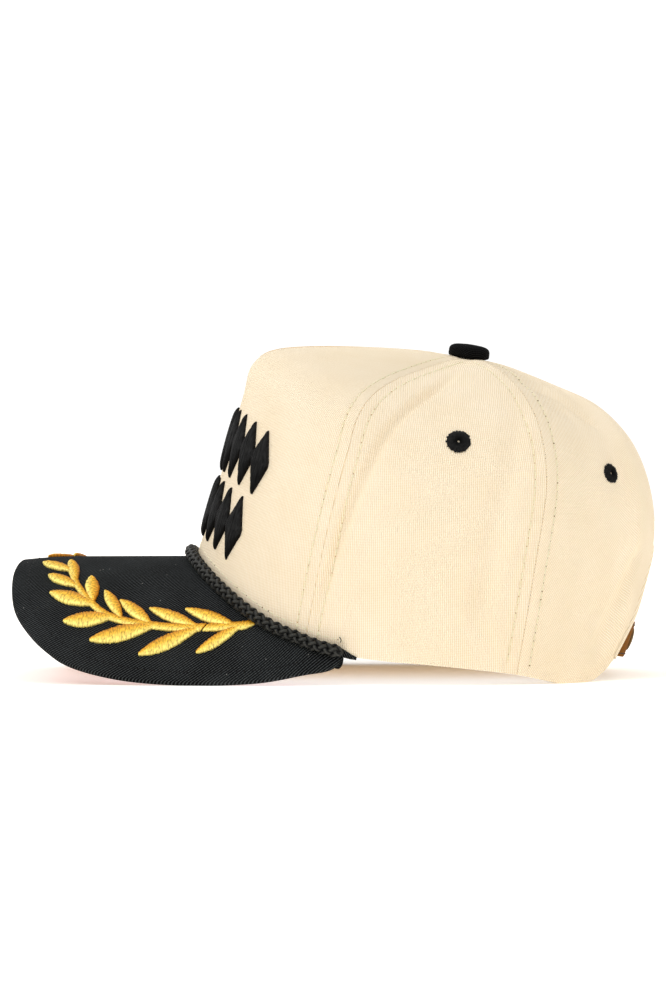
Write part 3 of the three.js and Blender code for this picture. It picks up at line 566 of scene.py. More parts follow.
def plain_material(name, colour, sockets, speck=0.25, grain=1.5, depth=0.05):
    """One colour, darker and lighter by a share called speck in soft specks, with so many grains
    to a millimetre."""
    material, tree = new_material(name)
    cloth = add_node(tree, "UVMap", {"uv_map": "cloth"})
    noise = add_node(tree, "TexNoise", {}, {"Vector": cloth, "Scale": grain, "Detail": 4})
    base = np.array(to_linear(colour)[:3])
    shade = add_node(tree, "MapRange", {}, {"Value": noise, 1: 0.3, 2: 0.7})
    mixed = add_node(tree, "Mix", {"data_type": "RGBA"}, {
        0: shade, 6: (*base * (1 - speck), 1), 7: (*np.minimum(base * (1 + speck), 1), 1),
    })
    finish_material(tree, mixed, noise, depth, sockets)
    return material


def strands(paths, ups, half_width, half_height, sides=6):
    """Closed threads along many paths at once: ellipses square to the path whose height points
    along ups, and each end drawn together to its middle."""
    ahead = unit(np.gradient(paths, axis=1))
    across = unit(np.cross(ahead, ups))
    ups = np.cross(across, ahead)
    turn = np.linspace(0, 2 * np.pi, sides + 1)
    half_width, half_height = (np.broadcast_to(half, paths.shape[:2])[..., None, None]
                               for half in (half_width, half_height))
    rings = paths[:, :, None] + (half_width * np.cos(turn)[:, None] * across[:, :, None]
                                 + half_height * np.sin(turn)[:, None] * ups[:, :, None])
    ends = [np.repeat(paths[:, k, None, None], sides + 1, 2) for k in (0, -1)]
    rings = np.concatenate([ends[0], rings, ends[1]], 1)
    uv = np.stack([distances(rings, 2), distances(rings, 1)], -1)
    count, along = rings.shape[:2]
    faces = grid_faces(along, sides + 1) + (np.arange(count) * along * (sides + 1))[:, None, None]
    points = rings.reshape(-1, 3)
    return points, facing_out(points, faces.reshape(-1, 4)), uv.reshape(-1, 2)


def stitch_row(path, normal, pitch, hole=1.0):
    """Threads at a steady pitch along a path on cloth, with dark discs at their ends as painted
    shade in the needle hole. Hole scales those discs.
    """
    run = distances(path, 0)
    first = np.arange(0.4, run[-1] / pitch - 1)[:, None]

    def place(share, values):
        return read_at((first + share) * pitch, run, values)

    normals = unit(place(THREAD_SHARES, normal))
    line = place(THREAD_SHARES, path) + normals * THREAD_LIFTS[:, None]
    threads = strands(line, normals, THREAD_RADIUS, THREAD_RADIUS)
    hole_ends = np.array([-0.06, 0.06])
    normals = unit(place(hole_ends, normal))
    # Most needle hole shades are small, as if nearly closed, and a few are large, as if open
    sizes = hole * (0.2 + 0.8 * rng.uniform(0, 1, (len(first), 1)) ** 2)
    hole_shades = strands(place(hole_ends, path) - 0.02 * normals, normals,
                    HOLE_WIDTH * sizes, HOLE_HEIGHT * sizes)
    return threads, hole_shades


# Twisted cotton thread: a little smoother than the cloth, so it shows as pale dots
COTTON_THREAD = plain_material("cream_cotton_thread", "f6e6c4", {"Roughness": 0.7})
# The shade in a needle hole, in the fold of the pinched seam and behind a seam: quite matt, and
# darker the deeper the cloth is pulled in
NEEDLE_HOLE = plain_material("needle_hole_shade", "b8915c", {"Roughness": 1.0})
PINCH_SHADE = plain_material("pinch_shade", "e0b678", {"Roughness": 1.0})
SEAM_HOLE = plain_material("seam_shade", "80653a", {"Roughness": 1.0})
OPEN_HOLE, SHADED_HOLE, RIM_HOLE = 0.8, 1.5, 1.9  # how large each row's painted needle hole shades are, as if pulled open so far
threads, hole_shades, seam_hole_shades = [], [], []
for seam in (FRONT_SEAM, -FRONT_SEAM, BACK_SEAM, -BACK_SEAM, 180):
    levels = np.linspace(0.12, 9.1, 300) if seam < 180 else np.linspace(3.0, 9.1, 200)
    for side in (-1, 1):
        on_seam = leaned(np.full_like(levels, seam), levels)
        away = side * TOPSTITCH / degree_length(on_seam, levels)
        place = (on_seam + away, levels)
        behind_seam = abs(seam) == BACK_SEAM and side * seam > 0
        row = stitch_row(crown(*place, -THREAD_SINK), crown_normal(*place), TOPSTITCH_PITCH,
                         SHADED_HOLE if behind_seam else OPEN_HOLE)
        threads.append(row[0])
        (seam_hole_shades if behind_seam else hole_shades).append(row[1])
for seam in (BACK_SEAM, -BACK_SEAM):
    levels = np.linspace(0.5, 8.6, 300)
    place = (leaned(np.full_like(levels, seam), levels), levels)
    row = stitch_row(crown(*place, -0.2), crown_normal(*place), SEAM_DOT_PITCH, SHADED_HOLE)
    seam_hole_shades.append(row[1])
azimuth = np.linspace(-ROPE_AZIMUTH, ROPE_AZIMUTH, 300)
level = ROPE_LEVEL - ROPE_FALL * np.abs(azimuth)
half_level = smooth_crown(azimuth, level + 0.5) - smooth_crown(azimuth, level)
place = (azimuth, level + 0.5 * RIM_STITCH_LIFT / np.linalg.norm(half_level, axis=-1))
row = stitch_row(crown(*place, -THREAD_SINK), crown_normal(*place), RIM_STITCH_PITCH, RIM_HOLE)
PINCH_SHADE_PLACE = 1.6  # from the middle of the pinched seam to the shade on each side of it
pinch = np.linspace(PINCH_LOW + 0.3, PINCH_HIGH - 1.5, 200)
shades = []
for side in (-1, 1):
    place = (side * PINCH_SHADE_PLACE / degree_length(0, pinch), pinch)
    shades.append(strands(crown(*place, 0)[None], crown_normal(*place)[None], 0.22, 0.1))
add_piece("seam_stitches", [*threads, row[0]], COTTON_THREAD, "cream_twill")
# Dark discs at the stitch ends: painted shade in the needle hole
add_piece("needle_hole_shades", hole_shades, NEEDLE_HOLE, "cream_twill")
# Darker discs behind the back seams, on them and above the rope: painted shade
add_piece("seam_and_rim_hole_shades", [*seam_hole_shades, row[1]], SEAM_HOLE, "cream_twill")
# Thin dark strips beside the pinched seam: painted shade in its fold
add_piece("pinch_fold_shades", shades, PINCH_SHADE, "cream_twill")

# Opening tape
# A narrow bias strip of the same twill, folded over the cut edge of the half moon and sewn down
# through both of its sides.
TAPE_HALF_WIDTH = 2.2
TAPE_CLOTH = 0.55  # its thickness on each side of the panel
TAPE_SHIFT = 0.6  # how far its middle is from the cut edge
bend = np.linspace(-0.97, 0.97, 161) * np.pi / 2
edge_x = OPENING_HALF_WIDTH * np.sin(bend)
edge_z = OPENING_FOOT + (OPENING_TOP - OPENING_FOOT) * np.cos(bend)
edge_x = edge_x + np.sign(edge_x) * LEG_LEAN * np.maximum(LEG_TOP - edge_z, 0)


def crown_at(x, z):
    """Azimuth and level at the back of the crown that are seen at this x and height. A first
    guess is moved in steps that go against what is left of both differences."""
    azimuth, level = 180 - np.degrees(np.arctan2(x, 90)), z / 20
    for _ in range(40):
        here = smooth_crown(azimuth, level)
        azimuth = azimuth - 0.5 * (x - here[..., 0])
        level = np.clip(level + 0.03 * (z - here[..., 2]), 0, 5)
    return azimuth, level


azimuth, level = crown_at(edge_x, edge_z)
edge = crown(azimuth, level, -WALL / 2)
away = unit(np.stack([edge_x, 0 * edge_x, edge_z - OPENING_FOOT + 0.5], -1))
tape = strands((edge + TAPE_SHIFT * away)[None], away[None], WALL / 2 + TAPE_CLOTH,
               TAPE_HALF_WIDTH, 16)
add_piece("opening_tape", [tape], CREAM_TWILL, "cream_twill")

# Eyelets
# Small vent holes bound with a ring of black satin stitch: the threads run outwards from the
# hole, and their ends make the ragged outer edge.
EYELET_HOLE = 0.5
EYELET_THREADS = 74
EYELET_EDGE, EYELET_DOME = 0.35, 0.95  # height of its edges, and how far its middle is higher
EYELET_SINK = 0.4  # how deep the underside of its edge lies in the cloth
EYELETS = {"side": (92.6, 4.74, 5.2), "back": (137, 4.3, 4.2)}  # azimuth, level, radius
SATIN_DEPTH = 0.08  # of the unevenness along a thread


def laid_threads(name, start, middle, end, streak, sockets):
    """Satin stitch. The map's first number counts threads and its second runs from -1 to 1 along
    each thread, over which the colour goes from start through middle to end: painted shade where a
    thread would lie in shade and a painted highlight where it would catch the light. Every thread
    is up to a share called streak lighter or darker than the next."""
    material, tree = new_material(name)
    cloth = add_node(tree, "UVMap", {"uv_map": "cloth"})
    along = add_node(tree, "SeparateXYZ", {}, {0: cloth}).outputs["Y"]
    first = add_node(tree, "MapRange", {}, {"Value": along, 1: -0.9, 2: 0.0})
    second = add_node(tree, "MapRange", {}, {"Value": along, 1: 0.0, 2: 0.9})
    mixed = add_node(tree, "Mix", {"data_type": "RGBA"},
                     {0: first, 6: to_linear(start), 7: to_linear(middle)})
    mixed = add_node(tree, "Mix", {"data_type": "RGBA"}, {0: second, 6: mixed, 7: to_linear(end)})
    stretched = add_node(tree, "VectorMath", {"operation": "MULTIPLY"},
                         {0: cloth, 1: (0.7, 2.2, 1)})
    noise = add_node(tree, "TexNoise", {}, {"Vector": stretched, "Scale": 1.0, "Detail": 2})
    bright = add_node(tree, "MapRange", {},
                      {"Value": noise, 1: 0.3, 2: 0.7, 3: 1 - streak, 4: 1 + streak})
    colour = add_node(tree, "VectorMath", {"operation": "MULTIPLY"}, {0: mixed, 1: bright})
    finish_material(tree, colour, noise, SATIN_DEPTH, sockets)
    return material


# Black polyester embroidery thread: dark, with painted shade at the start of each thread, on the
# hole's side of an eyelet and the lower edge of a lozenge, and a faint soft gloss along the rest
BLACK_THREAD = laid_threads("black_embroidery_thread", "090909", "1b1b1b", "191919", 0.8,
                            {"Roughness": 0.5, "Specular IOR Level": 0.06})


def seat(azimuth, level):
    """A place on the crown and the three directions across, up and out from it."""
    place, out = smooth_crown(azimuth, level), crown_normal(azimuth, level)
    across = unit(np.cross((0, 0, 1), out))
    return place, np.stack([across, np.cross(out, across), out])


def turned(radius, height, turn):
    """Rings round an axis, with a radius and a height at each angle called turn."""
    return np.stack(np.broadcast_arrays(radius * np.cos(turn), radius * np.sin(turn), height), -1)


for label, side in SIDES:
    for panel, (azimuth, level, eyelet_radius) in EYELETS.items():
        place, axes = seat(side * azimuth, level)
        ridge = np.tile([0, 0.7, 1, 0.7], EYELET_THREADS)
        turn = np.arange(len(ridge)) * 2 * np.pi / len(ridge)
        ragged = np.repeat(rng.uniform(-0.35, 0.3, EYELET_THREADS), 4)
        share = np.linspace(0, 1, 12)
        radius = EYELET_HOLE + (eyelet_radius + ragged[:, None] - EYELET_HOLE) * share
        dome = EYELET_EDGE + EYELET_DOME * np.sin(np.pi * np.clip(share * 1.08, 0, 1)) ** 0.6
        height = dome * (0.86 + 0.14 * ridge[:, None]) - 0.15 * share
        # Up from the hole, over the dome to the ragged edge, and back underneath
        hole = np.full((len(turn), 1), EYELET_HOLE)
        foot, sunk = np.full_like(hole, -WALL), np.full_like(hole, -EYELET_SINK)
        under = eyelet_radius - 0.6 + ragged[:, None]
        radius = np.concatenate([hole, radius, under, hole + 0.8], 1)
        height = np.concatenate([foot, height, sunk, foot], 1)
        local = turned(radius, height, turn[:, None])
        thread = turn[:, None] * EYELET_THREADS / (2 * np.pi)
        uv = np.stack(np.broadcast_arrays(thread, 2 * radius / eyelet_radius - 1), -1)
        rings = place + np.concatenate([local, local[:1]]) @ axes
        name = f"eyelet_{panel}_{label}"
        add_piece(f"thread_{name}", [ring_skin(rings, np.concatenate([uv, uv[-1:]]))],
                  BLACK_THREAD, "black_thread", name)

# Top button
# A metal shell covered in black cotton twill, whose cloth is gathered under its edge. Its shank
# goes down through the tops of the panels.
BUTTON_RADIUS = 9
BUTTON_TILT = np.radians(8)  # its top leans to the back
BUTTON_BEND = 0.014  # how far its sides come down, for each square millimetre sideways
BUTTON_Y = 58.3
GATHERS, GATHER_DEPTH = 17, 0.1  # folds round the edge, and how far each stands out
# The brim's cloth stretched tight: darker, with its ribs close and broken up
BUTTON_TWILL = cotton_twill("black_button_twill", "1c1c1d", "010101", 0.9, 0.45, 0.4, 0.4, -0.4)
profile = np.array([
    [2, -3], [2, 0.6], [5, 0.5], [BUTTON_RADIUS - 0.8, 0.45], [BUTTON_RADIUS - 0.2, 0.8],
    [BUTTON_RADIUS, 1.6], [BUTTON_RADIUS, 3.2], [BUTTON_RADIUS - 0.2, 4.1],
    [BUTTON_RADIUS - 0.8, 4.9], [BUTTON_RADIUS - 1.9, 5.5], [BUTTON_RADIUS - 3.4, 5.85],
    [4, 6.0], [2, 6.15], [0.3, 6.2],
])
turn = np.linspace(0, 2 * np.pi, 97)[:-1]
gathers = GATHER_DEPTH * np.sin(GATHERS * turn) * smoothstep(-profile[:, 1:], -3, -1)
radius = profile[:, :1] * (1 + gathers / BUTTON_RADIUS)
local = turned(radius, profile[:, 1:] - BUTTON_BEND * (radius * np.cos(turn)) ** 2, turn)
tilt = np.array([[1, 0, 0], [0, np.cos(BUTTON_TILT), -np.sin(BUTTON_TILT)],
                 [0, np.sin(BUTTON_TILT), np.cos(BUTTON_TILT)]])
apex = np.array([0, BUTTON_Y, CROWN["side_z"][-1]])
from_top = distances(local[::-1], 0)[::-1]
flat = from_top[..., None] * np.stack([np.cos(turn), np.sin(turn)], -1)
add_piece("covered_button", [tube(apex + local @ tilt, flat)], BUTTON_TWILL, "black_twill",
          "top_button")

# Brim
# Black cotton twill drawn over a stiff board, arched from side to side. The cloth turns round
# the edge and meets the plain red underside just inside it.
BRIM_THICKNESS = 3
BRIM_AZIMUTH = 76  # where it ends at the crown on both sides
BRIM_CLEARANCE = 0.6  # between it and the crown
BRIM_SINK = 0.9  # how far its inner edge turns down under the rope
BRIM_ARCH = 62  # mean radius, by which the cloth is laid out flat
BRIM_OUTLINE = np.array([
    [0, -136.7], [26.7, -138.3], [43.8, -136.3], [51.2, -133.4], [59.8, -126.6], [65.3, -119.7],
    [69.3, -112.4], [74.2, -91.6], [78.2, -44], [79, -14], [78.6, -3], [77.1, 2.5],
])
BRIM_END = 5  # length over which it thins out at both ends
THINNED = 0.99  # so that a tenth of its thickness is left at the very end
BRIM_STITCH = 6.5  # from the edge to the row of stitches inside it
UNDERSIDE_END, STITCH_END = 0.945, 0.922  # shares of half the brim's edge, from its middle
UNDERSIDE_CLOTH = 0.4
LIP_ANGLES = np.arange(15, 166, 15)  # degrees round the edge, from the top to the bottom face
LIP_BULGE = 0.6  # how far the edge stands out, as a share of half the thickness
# Black cotton twill: grey rib crests as a painted highlight between black gaps as painted shade,
# matt, with lint on it
BLACK_TWILL = cotton_twill("black_cotton_twill", "4c5051", "030303", 1.0, 0.66, 0.5, 0.22,
                           trough=-0.1, lint=0.5)


def smooth_curve(points, shares):
    """Centripetal Catmull-Rom curve, read at even shares of its length."""
    points = np.concatenate([[2 * points[0] - points[1]], points, [2 * points[-1] - points[-2]]])
    p0, p1, p2, p3 = (points[k:len(points) - 3 + k, None] for k in range(4))
    d0, d1, d2 = (np.linalg.norm(b - a, axis=-1, keepdims=True) ** 0.5
                  for a, b in ((p0, p1), (p1, p2), (p2, p3)))
    start = ((p1 - p0) / d0 - (p2 - p0) / (d0 + d1) + (p2 - p1) / d1) * d1
    stop = ((p2 - p1) / d1 - (p3 - p1) / (d1 + d2) + (p3 - p2) / d2) * d1
    u = np.linspace(0, 1, 40, endpoint=False)[None, :, None]
    curve = (p1 + start * u + (3 * p2 - 3 * p1 - 2 * start - stop) * u ** 2
             + (2 * p1 - 2 * p2 + start + stop) * u ** 3)
    curve = np.concatenate([curve.reshape(-1, points.shape[1]), points[-2:-1]])
    run = distances(curve, 0)
    return read_at(shares * run[-1], run, curve)


def brim_point(x, y, lift):
    """A point at a distance above the brim's top face."""
    step = 0.05
    slope_x = (brim_height(x + step, y) - brim_height(x - step, y)) / (2 * step)
    slope_y = (brim_height(x, y + step) - brim_height(x, y - step)) / (2 * step)
    normal = unit(np.stack([-slope_x, -slope_y, np.ones_like(x)], -1))
    return np.stack([x, y, brim_height(x, y)], -1) + normal * np.asarray(lift)[..., None]


along = np.sin(np.linspace(-1.4, 1.4, 241)) / np.sin(1.4)  # close together at the brim's ends
around = np.abs(along)
inner = outlines(around * BRIM_AZIMUTH)[0][:, :2]
inner = inner + BRIM_CLEARANCE * unit(crown_normal(around * BRIM_AZIMUTH, 0)[:, :2])
outer = smooth_curve(BRIM_OUTLINE, around)

# From the crown to the outline in straight lines, seen from above, with the arch as its height
across = np.r_[np.linspace(0, 0.94, 56), 0.96, 0.98, 0.992, 1]
plan = inner[:, None] + (outer - inner)[:, None] * across[:, None]
plan[..., 0] *= np.where(along < 0, -1, 1)[:, None]
top = brim_point(plan[..., 0], plan[..., 1], 0)
bottom = brim_point(plan[..., 0], plan[..., 1], -BRIM_THICKNESS)

# Beside the crown the lower face lies straight below the upper one, as far as keeps its thickness
drop = BRIM_THICKNESS ** 2 / (top[..., 2:] - bottom[..., 2:])
straight_down = top - drop * np.array([0, 0, 1])
blend = smoothstep(across, 0, 0.3)[:, None]
bottom = straight_down * (1 - blend) + bottom * blend

# Both ends are thinned out along a quarter of an ellipse, and the edge is half an ellipse round
near_end = np.clip((outer[:, 1] - BRIM_OUTLINE[-1, 1]) / BRIM_END + 1, 0, 1)
kept = np.sqrt(1 - THINNED * near_end ** 2)[:, None, None]
bottom = top + (bottom - top) * kept
outward = unit(top[:, -1] - top[:, -3])[:, None]
down = unit(bottom[:, -1] - top[:, -1])[:, None]
lip = np.radians(LIP_ANGLES)[:, None]
middle = (top[:, -1] + bottom[:, -1])[:, None] / 2
round_edge = LIP_BULGE * np.sin(lip) * outward - np.cos(lip) * down
lip_points = middle + kept * BRIM_THICKNESS / 2 * round_edge
top[:, 0, 2] -= BRIM_SINK
shell = np.concatenate([top, lip_points, bottom[:, ::-1]], 1)
shell[..., 2] = np.maximum(shell[..., 2], 0)

# The cloth laid out flat: across the arch, the length of a parabola from its middle to each side
steep = top[..., 0] / BRIM_ARCH
spread = BRIM_ARCH / 2 * (steep * np.sqrt(1 + steep ** 2) + np.arcsinh(steep))
flat = np.stack([spread, top[..., 1]], -1)
grow = unit(flat[:, -1] - flat[:, -3])
lip_run = BRIM_THICKNESS / 2 * np.radians(np.r_[LIP_ANGLES, 180])
lip_flat = flat[:, -1:] + grow[:, None] * lip_run[:, None]
under_flat = lip_flat[:, -1:] + flat[:, -1:] - flat[:, ::-1]
flat = np.concatenate([flat, lip_flat[:, :-1], under_flat], 1)
add_piece("covered_brim", [tube(shell, flat)], BLACK_TWILL, "black_twill", "brim")
# Thin cotton twill in dull red: matt and even, it throws a pink light on the table
RED_TWILL = cotton_twill("red_cotton_twill", "a8323a", "8a2229", 1.0, 0.45, 0.1, 0.4)
lower = slice(1, 56)
covered = around < UNDERSIDE_END
under_top = bottom[covered, lower] - 0.02 * np.array([0, 0, 1])
under_low = under_top - UNDERSIDE_CLOTH * np.array([0, 0, 1])
under_low[..., 2] = np.maximum(under_low[..., 2], 0.02)
add_piece("underside", [wall(under_top, under_low, under_flat[covered, ::-1][:, lower])],
          RED_TWILL, "black_twill")
from_edge = distances(top[:, ::-1], 1)
row = np.array([read_at(BRIM_STITCH, run, place[::-1]) for run, place in zip(from_edge, plan)])
row = row[around < STITCH_END]
path = brim_point(*row.T, -0.1)
ups = unit(brim_point(*row.T, 1) - path)
add_piece("brim_stitches", [stitch_row(path, ups, TOPSTITCH_PITCH)[0]], BLACK_THREAD,
          "black_thread")

# Rope
# Eight flat strands of shiny black cotton braided round a core, four turning each way, so that
# the strands lie in columns that lean left and right by turns.
BRAID_LAY = 18.2  # length in which a strand goes once round
BRAID_MIDDLE = 1.5  # mean distance of the strands from the rope's middle
BRAID_SWING = 0.6  # how far they go over and under each other
STRAND_WIDTH, STRAND_HEIGHT = 0.95, 0.8  # half of each
CORE_RADIUS = 0.7
ROPE_STEP = 0.32
# Tightly braided glazed cotton: black, with a painted grey highlight along the top and bottom of
# each strand and painted shade at its sides
CORD = laid_threads("black_braided_cord", "020202", "363632", "020202", 0.5,
                    {"Roughness": 0.4, "Specular IOR Level": 0.2})
azimuth = np.linspace(-ROPE_AZIMUTH, ROPE_AZIMUTH, 400)
level = ROPE_LEVEL - ROPE_FALL * np.abs(azimuth)
route = crown(azimuth, level, GAP + ROPE_RADIUS)
run = distances(route, 0)
at = np.linspace(0, run[-1], int(run[-1] / ROPE_STEP))
middle = read_at(at, run, route)
ahead = unit(np.gradient(middle, axis=0))
away = read_at(at, run, crown_normal(azimuth, level))
side = unit(np.cross(ahead, away))
away = np.cross(side, ahead)
phase = 2 * np.pi * at / BRAID_LAY
taper = np.minimum(smoothstep(at, -2, 3), smoothstep(at[-1] - at, -2, 3))

# Each strand winds round the rope's middle, at a distance that swings four times a turn, so that
# it passes over and under the strands that wind the other way
paths, ups = [], []
for way in (1, -1):
    for quarter in range(4):
        angle = way * phase + quarter * np.pi / 2 + 0.35
        radius = BRAID_MIDDLE + way * BRAID_SWING * np.cos(4 * phase)
        out = np.cos(angle)[:, None] * side + np.sin(angle)[:, None] * away
        paths.append(middle + (taper * radius)[:, None] * out)
        ups.append(out)
core_radius = taper[::4] * CORE_RADIUS
core = strands(middle[None, ::4], away[None, ::4], core_radius, core_radius, 8)
points, faces, uv = strands(np.array(paths), np.array(ups), taper * STRAND_WIDTH,
                            taper * STRAND_HEIGHT, 8)
# The cord's colour reads this: painted highlight where it is 0, painted shade at a strand's sides
over = np.tile(-np.cos(np.linspace(0, 2 * np.pi, 9)), len(uv) // 9)  # 0 along a strand's top
braid = points, faces, np.stack([uv[:, 1], over], 1)
add_piece("braided_rope", [braid, core], CORD, "black_cord", "rope")

# Brim tabs
# At each end of the brim its black cloth runs on into the rim seam as a flat tongue that comes to
# a point, and two ends of black thread stick out beside it.
TAB_START, TAB_END = 73.6, 79.4  # azimuths
TAB_HEIGHT = 0.15  # in levels, where it comes out from under the rope
TAB_NEAR, TAB_FAR = 0.05, 0.75  # distances of its two faces from the panel
THREAD_END_STARTS = (74.6, 0.24), (72.4, -0.1)  # azimuth and level
THREAD_END_REACHES = (0.6, -0.4, 2.2), (2.2, -0.3, -2.6)
for label, side in SIDES:
    along = np.linspace(0, 1, 40)
    azimuth = side * (TAB_START + (TAB_END - TAB_START) * along)
    high = 0.02 + TAB_HEIGHT * (1 - along)
    level = -0.03 + (high[:, None] + 0.03) * np.linspace(0, 1, 12)
    azimuth = np.broadcast_to(azimuth[:, None], level.shape)
    outer, inner = (crown(azimuth, level, out) for out in (TAB_FAR, TAB_NEAR))
    tab = wall(outer, inner, laid_out(outer))
    add_piece(f"brim_tab_{label}", [tab], BLACK_TWILL, "black_twill")
    ends = []
    for place, reach in zip(THREAD_END_STARTS, THREAD_END_REACHES):
        start = crown(side * place[0], place[1], 1.0)
        bend = np.linspace(0, 1, 12)[:, None]
        line = start + bend * np.array([side * reach[0], reach[1], reach[2]])
        line[:, 1] += 0.5 * np.sin(np.pi * bend[:, 0])
        ups = np.broadcast_to([0.0, 1.0, 0.2], (1, *line.shape))
        ends.append(strands(line[None], ups, THREAD_RADIUS, THREAD_RADIUS))
    add_piece(f"thread_ends_{label}", ends, BLACK_THREAD, "black_thread")

# Laurels
# Two branches in gold satin stitch. Every leaf is filled with threads laid side by side across
# it over a padding, so it is highest along its middle and ragged along its edges.
STEM = np.array([[62.1, -34], [60.5, -54], [58.5, -73.2], [53.5, -95], [47.2, -103.2],
                 [37.5, -110], [26.5, -113.8]])
LEAVES = [  # foot x, foot y, tip x, tip y, width
    [34.5, -110.8, 15.2, -115, 4.8],
    [47.1, -102.7, 31.5, -104.5, 6],
    [54.9, -89.9, 40.8, -98, 5],
    [57.7, -77.1, 46, -91.2, 5.1],
    [59.9, -57.6, 50.5, -78.5, 4.5],
    [61.3, -42, 52, -63.2, 4.4],
    [27, -114, 16.5, -126.8, 5.8],
    [38.2, -110.4, 29.5, -123.2, 5.6],
    [48.2, -102.4, 41, -121.5, 6.5],
    [53.9, -93.6, 55, -114.5, 6.2],
    [58.1, -75.4, 62.5, -102.8, 5.9],
    [60.3, -56.4, 68, -82, 5.2],
    [61.7, -39.5, 68.7, -58, 4],
]
RIGHT_SHIFT = 12  # the right laurel's tip is sewn this much nearer the brim's middle
STEM_WIDTH = 2.8
STEM_GAP = 20.6  # from the stem's start to the place where its thread was cut and begun again
STEM_GAP_LENGTH = 0.7
LEAF_TIP = 0.35  # half of a leaf's width at its two ends
THREAD_PITCH = 0.45
SATIN_EDGE = 0.32  # height of a leaf's edges
LEAF_PUFF, STEM_PUFF = 1.0, 0.7  # how much higher its middle is
LEAF_SKEW, STEM_SKEW = 0.2, 0.9  # how far the threads slant along the line
THREAD_RIDGE, THREAD_CHANCE = 0.17, 0.07  # height of a thread, and how much it differs by chance
# Rayon embroidery thread: painted shade makes one edge of each leaf deep orange gold and a painted
# highlight makes the other edge pale gold, in streaks
GOLD_THREAD = laid_threads("gold_rayon_thread", "c0790d", "efbb3d", "f9e27c", 0.5,
                           {"Roughness": 0.4, "Metallic": 0.2, "Specular IOR Level": 0.25})


def side_by_side(count, profile):
    """Across threads laid side by side: the height on each thread, with the profile's points for
    one thread, and a number from -1 to 1 that each thread draws."""
    chance = rng.uniform(-1, 1, count)
    return np.r_[np.tile(profile, count), 0], np.r_[np.repeat(chance, len(profile)), 0]


def satin(centre, half_width, puff, skew, side):
    """Threads laid across a centre line on the brim: a rounded hump from edge to edge, with a
    ridge for each thread, ends that stick out by chance, and a slant along the line."""
    length = distances(centre, 0)[-1]
    count = max(int(length / THREAD_PITCH), 3)
    u = np.arange(count * 2 + 1) / (count * 2)
    ridge, chance = side_by_side(count, [0, 1])
    spine = read_at(u * length, distances(centre, 0), centre)
    ahead = unit(np.gradient(spine, axis=0))
    across = np.stack([-ahead[:, 1], ahead[:, 0]], -1)
    half = np.interp(u, np.linspace(0, 1, len(half_width)), half_width) * (1 + 0.05 * chance)
    share = np.sin(np.linspace(-1, 1, 11) * np.pi / 2)
    slant = across[:, None] + skew * ahead[:, None]
    plan = spine[:, None] + slant * (half[:, None] * share)[..., None]
    fullness = np.minimum(half / 1.6, 1)[:, None]
    hump = SATIN_EDGE + puff * fullness * np.sqrt(np.maximum(1 - share ** 2, 0))
    lift = GAP + hump + (THREAD_RIDGE * ridge + THREAD_CHANCE * chance)[:, None]
    forward = np.clip((STEM[0, 1] - plan[..., 1]) / (STEM[0, 1] - STEM[-1, 1]), 0, 1)
    shift = RIGHT_SHIFT * forward ** 1.5 if side < 0 else 0
    x, y = side * (plan[..., 0] - shift), plan[..., 1]
    uv = np.stack(np.broadcast_arrays(u[:, None] * count, share), -1)
    return wall(brim_point(x, y, lift), brim_point(x, y, -0.2), uv)


shares = np.linspace(0, 1, 60)
stem = smooth_curve(STEM, np.linspace(0, 1, 400))
run = distances(stem, 0)
stem_half = STEM_WIDTH / 2 * np.clip(run / 3 + 0.15, 0, 1)
for label, side in SIDES:
    parts = []
    for length in (run <= STEM_GAP, run >= STEM_GAP + STEM_GAP_LENGTH):
        parts.append(satin(stem[length], stem_half[length], STEM_PUFF, STEM_SKEW, side))
    for *ends, width in LEAVES:
        foot, tip = np.array(ends).reshape(2, 2)
        line = foot + shares[:, None] * (tip - foot)
        # A leaf is narrow at both ends and widest just beyond its middle
        half = LEAF_TIP + (width / 2 - LEAF_TIP) * np.sin(np.pi * shares ** 1.1) ** 0.85
        parts.append(satin(line, half, LEAF_PUFF, LEAF_SKEW, side))
    add_piece(f"satin_laurel_{label}", parts, GOLD_THREAD, "gold_thread", f"laurel_{label}")

# Front motif
# Two rows of plain lozenges in black satin stitch over foam, each row joined by narrow necks.
# They are stitched through the front panel and its backing.
LOZENGES = {  # lowest and highest level, and how many
    "motif_upper_row": (2.2, 3.62, 10),
    "motif_lower_row": (0.68, 2.06, 9),
}
LOZENGE_PITCH = 7.8  # in degrees of azimuth
LOZENGE_THREADS = 20
LOZENGE_JOIN = 0.09  # height of a neck, as a share of a lozenge's
PUFF_EDGE, PUFF_MIDDLE = 1.0, 1.9  # height over the necks and over the middle
MOTIF_RIDGE = 0.16
for name, (low, high, count) in LOZENGES.items():
    threads = LOZENGE_THREADS * count
    # Along the row each whole step of u is a lozenge, which is highest halfway
    u = np.arange(threads * 3 + 1) / (threads * 3) * count
    ridge, chance = side_by_side(threads, [0, 1, 1])
    azimuth = LOZENGE_PITCH * (u - count / 2)
    fullness = 1 - np.abs((u % 1) * 2 - 1)
    half = (high - low) / 2 * (LOZENGE_JOIN + (1 - LOZENGE_JOIN) * fullness)
    half = half * (1 + 0.02 * chance)
    share = np.sin(np.linspace(-1, 1, 17) * np.pi / 2)
    level = (low + high) / 2 + half[:, None] * share
    arched = np.sqrt(fullness)[:, None] * np.sqrt(1 - share ** 2)
    hump = PUFF_EDGE + (PUFF_MIDDLE - PUFF_EDGE) * arched
    edge = 1 - np.abs(share) ** 12
    out = GAP + hump * (0.35 + 0.65 * edge)
    out = out + (MOTIF_RIDGE * ridge + THREAD_CHANCE * chance)[:, None]
    spread = np.broadcast_to(azimuth[:, None], level.shape)
    uv = np.stack(np.broadcast_arrays(np.arange(len(u))[:, None] / 3, share), -1)
    skin = wall(crown(spread, level, out), crown(spread, level, -0.1), uv)
    add_piece(f"stitched_{name}", [skin], BLACK_THREAD, "black_thread", name)

